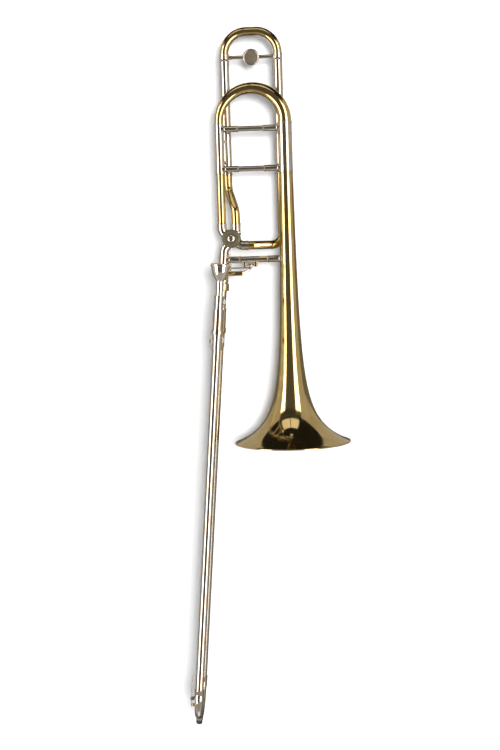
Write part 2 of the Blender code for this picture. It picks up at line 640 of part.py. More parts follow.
def build_outer_slide():
    """The outer tubes with the grip, the bow and the rubber bumper."""
    for name, y in (("upper_outer_tube", FRONT), ("lower_outer_tube", REAR)):
        outline = pipe(OUTER_TUBE_RADIUS, OUTER_TUBE_BORE, OUTER_TUBE_TOP, OUTER_TUBE_END)
        turned(name, outline, "nickel_silver", SLIDE, tube_at(y, 0.0))
    outline = [(SLEEVE_RADIUS - 0.0002, SLEEVE_TOP), (SLEEVE_RADIUS, SLEEVE_TOP - 0.0006)]
    outline += [(SLEEVE_RADIUS, SLEEVE_TOP - SLEEVE_LENGTH + 0.001)]
    outline += [(SLEEVE_RADIUS - 0.0003, SLEEVE_TOP - SLEEVE_LENGTH)]
    outline += [(SLEEVE_BORE, SLEEVE_TOP - SLEEVE_LENGTH), (SLEEVE_BORE, SLEEVE_TOP)]
    grip = turned("slide_grip", outline, "nickel_silver", SLIDE, tube_at(FRONT, 0.0), sides=FINE_SIDES)
    rear = turned("rear_sleeve_helper", outline, None, SLIDE, tube_at(REAR, 0.0), sides=FINE_SIDES)
    join(grip, rear)
    join(grip, cross_brace("grip_bar_helper", -GRIP_DROP, SLEEVE_RADIUS, GRIP_RADIUS, None, -SLEEVE_WALL / 2))

    ferrule_bore = OUTER_TUBE_RADIUS + GAP
    ferrule_radius = ferrule_bore + FERRULE_WALL
    top, bottom = FERRULE_TOP, FERRULE_BOTTOM
    outline = [(ferrule_radius - 0.0004, top), (ferrule_radius, top - 0.0006), (ferrule_radius, top - 0.004)]
    outline += [(ferrule_radius - 0.0003, top - 0.0045), (ferrule_radius - 0.0003, bottom + 0.0035)]
    outline += [(ferrule_radius, bottom + 0.003), (ferrule_radius, bottom), (ferrule_bore, bottom)]
    outline += [(ferrule_bore, top)]
    turned("front_bow_ferrule", outline, "nickel_silver", SLIDE, tube_at(FRONT, 0.0), sides=FINE_SIDES)
    turned("rear_bow_ferrule", outline, "nickel_silver", SLIDE, tube_at(REAR, 0.0), sides=FINE_SIDES)

    route = [Vector(tube_at(FRONT, OUTER_TUBE_END - GAP))]
    for step in range(13):
        angle = math.pi * step / 12
        y = FRONT / 2 - TUBE_SPACING / 2 * math.cos(angle)
        z = BOW_CENTRE_Z - TUBE_SPACING / 2 * math.sin(angle)
        route.append(Vector(tube_at(y, z)))
    route.append(Vector(tube_at(REAR, OUTER_TUBE_END - GAP)))
    bow = bent_tube("end_bow", route, OUTER_TUBE_RADIUS, BOW_WALL, "nickel_silver", SLIDE)
    cup_top = BOW_BOTTOM_Z + BUMPER_RADIUS ** 2 / (2 * OUTER_TUBE_RADIUS) + 0.0004
    cup_bottom = BOW_BOTTOM_Z - BUMPER_CUP_HEIGHT
    cup_radius = BUMPER_RADIUS - 0.0004
    cup_outline = [(0.0, cup_top), (cup_radius, cup_top), (cup_radius, cup_bottom + 0.001)]
    cup_outline += [(cup_radius - 0.0004, cup_bottom), (0.0, cup_bottom)]
    join(bow, turned("bumper_cup_helper", cup_outline, None, SLIDE, tube_at(FRONT / 2, 0.0)))

    seat = cup_bottom - GAP
    outline = [(0.0, seat), (BUMPER_RADIUS - 0.0006, seat), (BUMPER_RADIUS, seat - 0.0015)]
    outline += [(BUMPER_RADIUS, seat - BUMPER_HEIGHT * 0.55)]
    outline += [(BUMPER_RADIUS * 0.86, seat - BUMPER_HEIGHT * 0.85)]
    outline += [(BUMPER_TIP_RADIUS, seat - BUMPER_HEIGHT), (0.0, seat - BUMPER_HEIGHT)]
    turned("rubber_bumper", outline, "rubber", SLIDE, tube_at(FRONT / 2, 0.0))


def build_water_key():
    """The water key with its pin and cork, the ears that carry it and the nipple that it closes."""
    ferrule_radius = OUTER_TUBE_RADIUS + GAP + FERRULE_WALL
    pivot_x, pivot_z = -KEY_PIVOT_REACH, KEY_PIVOT_Z
    ear_y = KEY_WIDTH / 2 + GAP + 0.0006
    base = bpy.data.objects["front_bow_ferrule"]
    root = ferrule_radius - FERRULE_WALL / 2 - 0.0012
    reach = KEY_PIVOT_REACH + 0.0018 - root
    low, high = tube_at(FRONT, pivot_z - CUTTER_REACH), tube_at(FRONT, pivot_z + CUTTER_REACH)
    trim_radius = ferrule_radius - FERRULE_WALL / 2
    trim = bar("key_ferrule_cutter", trim_radius, low, high, None, SLIDE, CUTTER_SIDES)
    for side in (-1, 1):
        ear_name = "key_ear_helper_" + ("front" if side < 0 else "rear")
        centre = (-root - reach / 2, FRONT + side * ear_y, pivot_z)
        join(base, cut(block(ear_name, (reach, 0.0012, 0.0050), centre, None, SLIDE), trim))
    hole_start = (pivot_x, FRONT - 2 * ear_y, pivot_z)
    hole_end = (pivot_x, FRONT + 2 * ear_y, pivot_z)
    cut(base, cutter_bar("key_pin_cutter", KEY_PIN_RADIUS, hole_start, hole_end, SLIDE))
    pin_half = ear_y + 0.0016
    pin_start, pin_end = (pivot_x, FRONT - pin_half, pivot_z), (pivot_x, FRONT + pin_half, pivot_z)
    bar("water_key_pin", KEY_PIN_RADIUS, pin_start, pin_end, "steel", SLIDE)

    arc_drop = BOW_CENTRE_Z - (pivot_z - NIPPLE_DROP)
    nipple_z = pivot_z - NIPPLE_DROP
    nipple_y = FRONT / 2 - math.sqrt((TUBE_SPACING / 2) ** 2 - max(arc_drop, 0.0) ** 2)
    nipple_base = (-OUTER_TUBE_RADIUS + 0.0009, nipple_y, nipple_z)
    nipple_top = (-OUTER_TUBE_RADIUS - NIPPLE_HEIGHT, nipple_y, nipple_z)
    nipple = bar("nipple_helper", NIPPLE_RADIUS, nipple_base, nipple_top, None, SLIDE)
    join(bpy.data.objects["end_bow"], nipple)
    bore_start = (-OUTER_TUBE_RADIUS + 0.003, nipple_y, nipple_z)
    bore_end = (-OUTER_TUBE_RADIUS - NIPPLE_HEIGHT - 0.002, nipple_y, nipple_z)
    cut(bpy.data.objects["end_bow"], cutter_bar("nipple_bore_cutter", 0.0016, bore_start, bore_end, SLIDE))

    cork_x = nipple_top[0] - GAP
    cork_end = (cork_x - CORK_HEIGHT, nipple_y, nipple_z)
    bar("water_key_cork", NIPPLE_RADIUS + 0.0002, (cork_x, nipple_y, nipple_z), cork_end, "cork", SLIDE)

    cup_x = cork_x - CORK_HEIGHT - GAP
    hub_start = (pivot_x, FRONT - KEY_WIDTH / 2, pivot_z)
    hub_end = (pivot_x, FRONT + KEY_WIDTH / 2, pivot_z)
    lever = bar("water_key_lever", KEY_BARREL_RADIUS, hub_start, hub_end, "nickel_silver", SLIDE)
    plate_x = cup_x - KEY_THICKNESS / 2
    top_z = pivot_z + KEY_ARM_LENGTH
    arm_size = (KEY_THICKNESS, KEY_WIDTH * 0.8, KEY_ARM_LENGTH + 0.001)
    arm = block("key_arm_helper", arm_size, (pivot_x - 0.0012, FRONT, (pivot_z + top_z) / 2), None, SLIDE)
    foot_size = (KEY_THICKNESS, KEY_WIDTH * 0.8, NIPPLE_DROP + 0.001)
    foot = block("key_foot_helper", foot_size, (plate_x, FRONT, pivot_z - NIPPLE_DROP / 2), None, SLIDE)
    cup_start, cup_end = (cup_x, nipple_y, nipple_z), (cup_x - KEY_THICKNESS, nipple_y, nipple_z)
    cup = bar("key_cup_helper", NIPPLE_RADIUS + 0.0006, cup_start, cup_end, None, SLIDE)
    join(lever, arm, foot, cup)
    cut(lever, cutter_bar("key_barrel_cutter", KEY_PIN_RADIUS, hole_start, hole_end, SLIDE))


def bell_radius(distance):
    """Outer radius of the bell at a distance from its lip."""
    flare = (BELL_FLARE_DEPTH / (distance + BELL_FLARE_DEPTH)) ** BELL_FLARE_POWER
    stem = BELL_STEM_RADIUS + BELL_STEM_TAPER * (BELL_LENGTH - distance)
    return stem + (BELL_RIM_RADIUS - stem) * flare


def build_bell():
    """The bell and the wire in its rim."""
    limit = BELL_RIM_RADIUS - 2 * RIM_WIRE_RADIUS - GAP
    outer, inner = [], []
    for ring in range(BELL_RINGS + 1):
        distance = BELL_LENGTH * (ring / BELL_RINGS) ** 2.0
        radius = min(bell_radius(distance), limit)
        slope = (bell_radius(distance) - bell_radius(distance + 0.001)) / 0.001
        lean = math.hypot(1.0, slope)
        height = BELL_LIP_Z + distance
        outer.append((radius, height))
        inner.append((radius - BELL_WALL / lean, height - BELL_WALL * slope / lean))
    inner[-1] = (outer[-1][0] - BELL_WALL, outer[-1][1])
    outline = outer[::-1] + inner
    turned("bell", outline, "lacquered_brass", BELL, (BELL_X, 0.0, 0.0), sides=BELL_SIDES)
    centre = (BELL_X, 0.0, BELL_LIP_Z)
    hole = BELL_RIM_RADIUS - 2 * RIM_WIRE_RADIUS
    wire = []
    for step in range(6):
        angle = 2 * math.pi * step / 6
        wire.append((hole + RIM_WIRE_RADIUS * (1 + math.cos(angle)), -RIM_WIRE_RADIUS * math.sin(angle)))
    turned("bell_rim_wire", wire, "lacquered_brass", BELL, centre, sides=BELL_SIDES)


def build_tuning_receivers():
    """The fixed legs of the main tuning slide and their brace."""
    left, right = (NECK_LEG_X, 0.0, 0.0), (BELL_X, 0.0, 0.0)
    outline = pipe(LEFT_RECEIVER_RADIUS, LEFT_RECEIVER_RADIUS - TUBE_WALL, RECEIVERS_TOP, RECEIVERS_Z)
    receivers = turned("tuning_receivers", outline, "nickel_silver", BELL, left, sides=FINE_SIDES)
    outline = pipe(RIGHT_RECEIVER_RADIUS, RIGHT_RECEIVER_RADIUS - TUBE_WALL, RECEIVERS_TOP, RECEIVERS_Z)
    join(receivers, turned("right_receiver_helper", outline, None, BELL, right, sides=FINE_SIDES))
    radii = (LEFT_RECEIVER_RADIUS, RIGHT_RECEIVER_RADIUS)
    join(receivers, upright_brace("receiver_brace_helper", RECEIVER_BRACE_Z, radii))
    outline = pipe(LEG_RADIUS, LEG_RADIUS - LEG_WALL, RECEIVERS_Z - GAP, KNUCKLE_TOP_Z + GAP)
    turned("main_leg_tube", outline, "lacquered_brass", BELL, (NECK_LEG_X, 0.0, 0.0))


def upright_brace(name, height, radii):
    """The bar of a brace that is soldered between the two legs of the main tuning slide."""
    start, end = (NECK_LEG_X, 0.0, height), (BELL_X, 0.0, height)
    obj = brace(name, start, end, radii, BRACE_RADIUS, SOCKET_RADIUS, SOCKET_LENGTH, None, BELL)
    for side, x, radius in (("left", NECK_LEG_X, radii[0]), ("right", BELL_X, radii[1])):
        low, high = (x, 0.0, height - CUTTER_REACH), (x, 0.0, height + CUTTER_REACH)
        reach = radius - TUBE_WALL / 2
        cut(obj, bar(name + "_" + side + "_cutter", reach, low, high, None, BELL, CUTTER_SIDES))
    return obj


def build_tuning_slide():
    """The moving crook with its legs, ferrules and brace."""
    outlines = []
    base = RECEIVERS_TOP + GAP
    seat = CROOK_BASE_Z - 0.004
    for radius, crook in ((LEFT_RECEIVER_RADIUS, CROOK_SMALL_RADIUS),
                          (RIGHT_RECEIVER_RADIUS, CROOK_LARGE_RADIUS)):
        leg = radius - TUBE_WALL - GAP
        bead = radius + 0.0003
        outline = [(radius + 0.0001, CROOK_BASE_Z), (bead, CROOK_BASE_Z - 0.0015)]
        outline += [(radius, CROOK_BASE_Z - 0.0030), (radius, base + 0.0022), (bead, base + 0.0018)]
        outline += [(bead, base), (leg, base), (leg, RECEIVERS_TOP - TUNING_LEG_INSERT)]
        outline += [(leg - 0.0004, RECEIVERS_TOP - TUNING_LEG_INSERT), (leg - 0.0004, seat - 0.001)]
        outline += [(crook + GAP - 0.0008, seat), (crook + GAP, seat), (crook + GAP, CROOK_BASE_Z)]
        outlines.append(outline)
    legs = turned("tuning_legs", outlines[0], "nickel_silver", BELL, (NECK_LEG_X, 0.0, 0.0), sides=FINE_SIDES)
    right = turned("right_leg_helper", outlines[1], None, BELL, (BELL_X, 0.0, 0.0), sides=FINE_SIDES)
    join(legs, right)
    foot = seat + GAP
    centre = (NECK_LEG_X + TUNING_SPAN / 2, 0.0, CROOK_BASE_Z + 0.002)
    route = [Vector((NECK_LEG_X, 0.0, foot))]
    route += half_ring(centre, TUNING_SPAN / 2)
    route.append(Vector((BELL_X, 0.0, foot)))
    end_radius = CROOK_LARGE_RADIUS
    bent_tube("main_crook", route, CROOK_SMALL_RADIUS, TUBE_WALL, "lacquered_brass", BELL, end_radius, 5)
    height = RECEIVERS_TOP + TUNING_BRACE_RISE
    join(legs, upright_brace("tuning_brace_helper", height, (LEFT_RECEIVER_RADIUS, RIGHT_RECEIVER_RADIUS)))


def build_f_slide():
    """The F attachment's tuning slide: receivers, legs, crook, brace and medallion."""
    bore = F_RECEIVER_RADIUS - TUBE_WALL
    outline = pipe(F_RECEIVER_RADIUS, bore, F_RECEIVER_TOP, RECEIVERS_Z)
    for name, x in (("left_f_receiver", F_LEFT_X), ("right_f_receiver", F_RIGHT_X)):
        turned(name, outline, "nickel_silver", BELL, (x, F_PLANE_Y, 0.0))
    leg = bore - GAP
    base = F_RECEIVER_TOP + GAP
    seat = F_CROOK_BASE_Z - 0.005
    outline = [(F_RECEIVER_RADIUS, F_CROOK_BASE_Z), (F_RECEIVER_RADIUS, base), (leg, base)]
    outline += [(leg, F_RECEIVER_TOP - F_LEG_INSERT), (leg - 0.0004, F_RECEIVER_TOP - F_LEG_INSERT)]
    outline += [(leg - 0.0004, seat), (F_TUBE_RADIUS + GAP, seat), (F_TUBE_RADIUS + GAP, F_CROOK_BASE_Z)]
    legs = turned("f_slide_legs", outline, "nickel_silver", BELL, (F_LEFT_X, F_PLANE_Y, 0.0))
    join(legs, turned("f_leg_helper", outline, None, BELL, (F_RIGHT_X, F_PLANE_Y, 0.0)))
    foot, top = seat + GAP, F_CROOK_BASE_Z + F_CROOK_CORNER
    corners = [(F_LEFT_X, F_PLANE_Y, foot), (F_LEFT_X, F_PLANE_Y, top)]
    corners += [(F_RIGHT_X, F_PLANE_Y, top), (F_RIGHT_X, F_PLANE_Y, foot)]
    route = rounded_route(corners, (F_CROOK_CORNER, F_CROOK_CORNER), 6)
    bent_tube("f_crook", route, F_TUBE_RADIUS, TUBE_WALL, "lacquered_brass", BELL)

    height = F_RECEIVER_TOP + F_BRACE_RISE
    start, end = (F_LEFT_X, F_PLANE_Y, height), (F_RIGHT_X, F_PLANE_Y, height)
    ends = (F_RECEIVER_RADIUS, F_RECEIVER_RADIUS)
    cross = brace("f_brace_helper", start, end, ends, F_BRACE_RADIUS, F_BRACE_RADIUS * 1.1, 0.006, None, BELL)
    for side, x in (("left", F_LEFT_X), ("right", F_RIGHT_X)):
        low, high = (x, F_PLANE_Y, height - CUTTER_REACH), (x, F_PLANE_Y, height + CUTTER_REACH)
        reach = F_RECEIVER_RADIUS - (F_RECEIVER_RADIUS - F_TUBE_RADIUS) / 3
        cut(cross, bar("f_brace_" + side + "_cutter", reach, low, high, None, BELL, CUTTER_SIDES))
    centre_x = F_LEFT_X + F_SPAN / 2
    back_y = F_PLANE_Y + MEDALLION_THICKNESS / 2
    plate = MEDALLION_RADIUS - 0.003
    start, end = (centre_x, back_y, height), (centre_x, back_y + GAP + 0.0014, height)
    join(cross, bar("medallion_plate_helper", plate, start, end, None, BELL, FINE_SIDES))
    start, end = (centre_x, F_PLANE_Y - CUTTER_REACH, height), (centre_x, back_y + GAP, height)
    cut(cross, cutter_bar("medallion_cutter", MEDALLION_RADIUS, start, end, BELL))
    join(legs, cross)
    half = MEDALLION_THICKNESS / 2
    rim, field = MEDALLION_RADIUS, MEDALLION_RADIUS - 0.0018
    outline = [(0.0, half - 0.0007), (field, half - 0.0007), (field + 0.0005, half), (rim - 0.0004, half)]
    outline += [(rim, half - 0.0006), (rim, -half + 0.0006), (rim - 0.0006, -half), (0.0, -half)]
    centre = (centre_x, F_PLANE_Y, height)
    turned("medallion", outline, "nickel_silver", BELL, centre, FACING_FRONT, FINE_SIDES)


def build_f_tubes():
    """The fixed F tubing below its receivers, and the stays that hold it."""
    feed_x = VALVE_X + FEED_X
    corners = [(feed_x, 0.0, KNUCKLE_TOP_Z + GAP), (feed_x, 0.0, 0.139), (F_LEFT_X, F_PLANE_Y, 0.180)]
    corners.append((F_LEFT_X, F_PLANE_Y, RECEIVERS_Z - GAP))
    route = rounded_route(corners, (0.034, 0.034), 5)
    bent_tube("f_feed_tube", route, F_TUBE_RADIUS, TUBE_WALL, "lacquered_brass", BELL)
    start_x = VALVE_X + RETURN_KNUCKLE_REACH + GAP
    corners = [(start_x, 0.0, RETURN_Z), (start_x + 0.010, 0.0, RETURN_Z)]
    corners += [(F_RIGHT_X, F_PLANE_Y, RETURN_Z), (F_RIGHT_X, F_PLANE_Y, RECEIVERS_Z - GAP)]
    route = rounded_route(corners, (0.040, RETURN_BEND), 6)
    bent_tube("f_return_tube", route, F_TUBE_RADIUS, TUBE_WALL, "lacquered_brass", BELL)

    for side, main_x, main_radius, f_x in (("left", NECK_LEG_X, LEFT_RECEIVER_RADIUS, F_LEFT_X),
                                           ("right", BELL_X, RIGHT_RECEIVER_RADIUS, F_RIGHT_X)):
        receiver = bpy.data.objects[side + "_f_receiver"]
        for level, height in enumerate(STAY_HEIGHTS):
            tag = side + "_" + str(level)
            start, end = (main_x, 0.0, height), (f_x, F_PLANE_Y, height)
            stay = bar("stay_helper_" + tag, STAY_RADIUS, start, end, None, BELL)
            low, high = (main_x, 0.0, height - CUTTER_REACH), (main_x, 0.0, height + CUTTER_REACH)
            cut(stay, cutter_bar("stay_main_cutter_" + tag, main_radius, low, high, BELL))
            low, high = (f_x, F_PLANE_Y, height - CUTTER_REACH), (f_x, F_PLANE_Y, height + CUTTER_REACH)
            reach = F_RECEIVER_RADIUS - TUBE_WALL / 2
            cut(stay, bar("stay_f_cutter_" + tag, reach, low, high, None, BELL, CUTTER_SIDES))
            join(receiver, stay)


def port_point(angle, reach):
    """A point in the valve's plane at an angle and a distance from the rotor's axis."""
    return Vector((VALVE_X + reach * math.cos(angle), 0.0, VALVE_Z + reach * math.sin(angle)))


def build_knuckles():
    """The four bent nickel knuckles on the casing, and the neckpipe below one of them."""
    inside = CASING_RADIUS * 0.55
    up = math.radians(45) + PORT_TURN
    neck = Vector((math.sin(SLIDE_TILT), 0.0, math.cos(SLIDE_TILT)))
    feed = port_point(up, FEED_X / math.cos(up))
    main_angle = up + math.pi / 2
    main = port_point(main_angle, (NECK_LEG_X - VALVE_X) / math.cos(main_angle))
    return_angle = up - math.pi / 2
    back = port_point(return_angle, -RETURN_DROP / math.sin(return_angle))
    neck_angle = up + math.pi
    ray = Vector((math.cos(neck_angle), 0.0, math.sin(neck_angle)))
    reach = (neck.x * VALVE_Z - neck.z * VALVE_X) / (neck.z * ray.x - neck.x * ray.z)
    elbow = port_point(neck_angle, reach)
    neck_top = elbow.length - 0.010
    routes = {
        "main_knuckle": (main_angle, main, Vector((main.x, 0.0, KNUCKLE_TOP_Z))),
        "f_feed_knuckle": (up, feed, Vector((feed.x, 0.0, KNUCKLE_TOP_Z))),
        "f_return_knuckle": (return_angle, back, Vector((VALVE_X + RETURN_KNUCKLE_REACH, 0.0, back.z))),
        "neck_knuckle": (neck_angle, elbow, neck * neck_top),
    }
    casing_ends = ((VALVE_X, -2 * CUTTER_REACH, VALVE_Z), (VALVE_X, 2 * CUTTER_REACH, VALVE_Z))
    for name, (angle, corner, end) in routes.items():
        route = rounded_route([port_point(angle, inside), corner, end], (KNUCKLE_BEND,), 5)
        obj = bent_tube(name, route, KNUCKLE_RADIUS, KNUCKLE_WALL, "nickel_silver", BELL)
        cut(obj, cutter_bar(name + "_cutter", CASING_RADIUS, *casing_ends, BELL))
    bottom = TENON_HEIGHT + 3 * GAP
    outline = pipe(NECKPIPE_RADIUS, NECKPIPE_RADIUS - NECKPIPE_WALL, neck_top - GAP, bottom)
    turned("neckpipe", outline, "nickel_silver", SLIDE)


def build_valve():
    """The rotary valve: casing, rotor, plates, caps and stop."""
    centre = (VALVE_X, 0.0, VALVE_Z)
    half = CASING_HALF_LENGTH
    outline = pipe(CASING_RADIUS, CASING_BORE, half, -half)
    casing = turned("valve_casing", outline, "nickel_silver", BELL, centre, FACING_FRONT, FINE_SIDES)
    rotor_half = half - PLATE_THICKNESS - 2 * GAP
    stem = ROTOR_STEM_RADIUS
    outline = [(0.0, half), (stem, half), (stem, rotor_half), (ROTOR_RADIUS, rotor_half)]
    outline += [(ROTOR_RADIUS, -rotor_half), (stem, -rotor_half), (stem, -STEM_END_Y), (0.0, -STEM_END_Y)]
    rotor = turned("rotor", outline, "bare_brass", BELL, centre, FACING_FRONT, FINE_SIDES)
    for side in (0, 1):
        angle = math.radians(45) + PORT_TURN + side * math.pi / 2
        start, end = port_point(angle, CASING_RADIUS * 1.2), port_point(angle, -CASING_RADIUS * 1.2)
        cut(casing, cutter_bar("port_cutter_" + str(side), PORT_RADIUS, start, end, BELL))
    for name, angle in (("left", math.pi + PORT_TURN), ("right", PORT_TURN)):
        middle = port_point(angle, ROTOR_RADIUS * math.sqrt(2))
        ring = []
        for step in range(12):
            around = 2 * math.pi * step / 12
            ring.append((ROTOR_RADIUS + PORT_RADIUS * math.cos(around), -PORT_RADIUS * math.sin(around)))
        cut(rotor, turned("passage_cutter_" + name, ring, None, BELL, middle, FACING_FRONT, FINE_SIDES))

    outline = pipe(CASING_BORE - GAP, stem + GAP, half - GAP, rotor_half + GAP)
    turned("front_bearing_plate", outline, "bare_brass", BELL, centre, FACING_FRONT)
    turned("rear_bearing_plate", outline, "bare_brass", BELL, centre, FACING_BACK)

    rim = CASING_RADIUS + CAP_OVERHANG
    base, face = half + GAP, half + GAP + CAP_THICKNESS
    hole = OIL_CAP_RADIUS + GAP
    outline = [(rim - 0.0012, face), (rim, face - 0.0012), (rim, base), (hole, base), (hole, face - 0.0005)]
    outline.append((hole + 0.0006, face))
    turned("valve_cap", outline, "etched_nickel", BELL, centre, FACING_FRONT, FINE_SIDES)
    dome = face + 0.0022
    outline = [(0.0, dome), (OIL_CAP_RADIUS * 0.55, dome - 0.0003), (OIL_CAP_RADIUS * 0.88, dome - 0.0012)]
    outline += [(OIL_CAP_RADIUS, dome - 0.0026), (OIL_CAP_RADIUS, base), (0.0, base)]
    turned("oil_cap", outline, "silver_plate", BELL, centre, FACING_FRONT)

    outline = pipe(CASING_RADIUS - 0.0004, stem + GAP, REAR_FACE_Y, half + GAP)
    turned("stop_plate", outline, "nickel_silver", BELL, centre, FACING_BACK, FINE_SIDES)
    build_stop(centre)


def build_stop(centre):
    """The stop arm on the rotor's stem and the two bumpers that stop it."""
    front, back = STOP_ARM_Y, STEM_END_Y
    hub_outline = rod(0.0054, back, front)
    arm = turned("stop_arm", hub_outline, "nickel_silver", BELL, centre, FACING_BACK)
    pin = (CRANK_X, 0.0, CRANK_Z)
    middle_y = (front + back) / 2
    crank_angle = math.radians(225)
    lug_angle = math.radians(45)
    lug_length = STOP_RADIUS + STOP_BUMPER_RADIUS / 2
    for tag, angle, length, width in (("crank", crank_angle, CRANK_RADIUS, 0.0046),
                                      ("lug", lug_angle, lug_length, 2 * LUG_HALF_WIDTH)):
        middle = port_point(angle, length / 2)
        middle.y = middle_y
        size = (length, STOP_ARM_THICKNESS, width)
        join(arm, block("stop_" + tag + "_helper", size, middle, None, BELL, 0.0, (0.0, -angle, 0.0)))
    end_start, end_end = (pin[0], front, pin[2]), (pin[0], back, pin[2])
    join(arm, bar("crank_end_helper", 0.0030, end_start, end_end, None, BELL))
    hole_start, hole_end = (VALVE_X, front - 0.002, VALVE_Z), (VALVE_X, back + 0.002, VALVE_Z)
    cut(arm, cutter_bar("stem_hole_cutter", ROTOR_STEM_RADIUS, hole_start, hole_end, BELL))

    offset = math.asin((LUG_HALF_WIDTH + STOP_BUMPER_RADIUS + GAP) / STOP_RADIUS)
    outline = rod(STOP_BUMPER_RADIUS, back, REAR_FACE_Y + GAP)
    for name, angle in (("upper_stop_bumper", lug_angle + offset),
                        ("lower_stop_bumper", lug_angle - math.pi / 2 - offset)):
        turned(name, outline, "cork", BELL, port_point(angle, STOP_RADIUS), FACING_BACK, 12)


def build_bell_brace():
    """The brace from the neckpipe to the bell, with the lever's posts and screw."""
    neck_x = BELL_BRACE_Z * math.tan(SLIDE_TILT)
    start, end = (neck_x, 0.0, BELL_BRACE_Z), (BELL_X, 0.0, BELL_BRACE_Z)
    stem = bell_radius(BELL_BRACE_Z - BELL_SOCKET_RADIUS * 1.4 - BELL_LIP_Z)
    ends = (NECKPIPE_RADIUS, stem)
    sizes = (BELL_BRACE_RADIUS, BELL_SOCKET_RADIUS, BELL_SOCKET_LENGTH)
    obj = brace("bell_brace", start, end, ends, *sizes, "nickel_silver", BELL)
    cut(obj, cutter_bar("brace_bell_cutter", stem, (BELL_X, 0.0, BELL_BRACE_Z - CUTTER_REACH),
                        (BELL_X, 0.0, BELL_BRACE_Z + CUTTER_REACH), BELL))
    cut(obj, cutter_bar("brace_neck_cutter", NECKPIPE_RADIUS, (0.0, 0.0, 0.02), (0.0, 0.0, 0.08), SLIDE))

    bottom = LEVER_PIVOT_Z - 0.0042
    height = BELL_BRACE_Z - bottom
    brace_cutter = cutter_bar("post_brace_cutter", BELL_BRACE_RADIUS, start, end, BELL)
    screw_start = (LEVER_POST_X[0] - 0.0060, 0.0, LEVER_PIVOT_Z)
    screw_end = (LEVER_POST_X[1] + 0.0042, 0.0, LEVER_PIVOT_Z)
    hole = cutter_bar("lever_screw_cutter", LEVER_SCREW_RADIUS, screw_start, screw_end, BELL)
    for name, x in zip(("left_lever_post", "right_lever_post"), LEVER_POST_X):
        size = (LEVER_POST_WIDTH, LEVER_POST_DEPTH, height)
        centre = (x, 0.0, bottom + height / 2)
        cut(block(name, size, centre, "lacquered_brass", BELL), brace_cutter, hole)
    left = LEVER_POST_X[0] - LEVER_POST_WIDTH / 2 - 0.0012
    right = LEVER_POST_X[1] + LEVER_POST_WIDTH / 2
    head = right + GAP + 0.0018
    outline = [(0.0, head), (0.0024, head - 0.0003), (0.0026, head - 0.0008), (0.0026, right + GAP)]
    outline += [(LEVER_SCREW_RADIUS, right + GAP), (LEVER_SCREW_RADIUS, left), (0.0, left)]
    turned("lever_screw", outline, "steel", BELL, (0.0, 0.0, LEVER_PIVOT_Z), FACING_RIGHT)


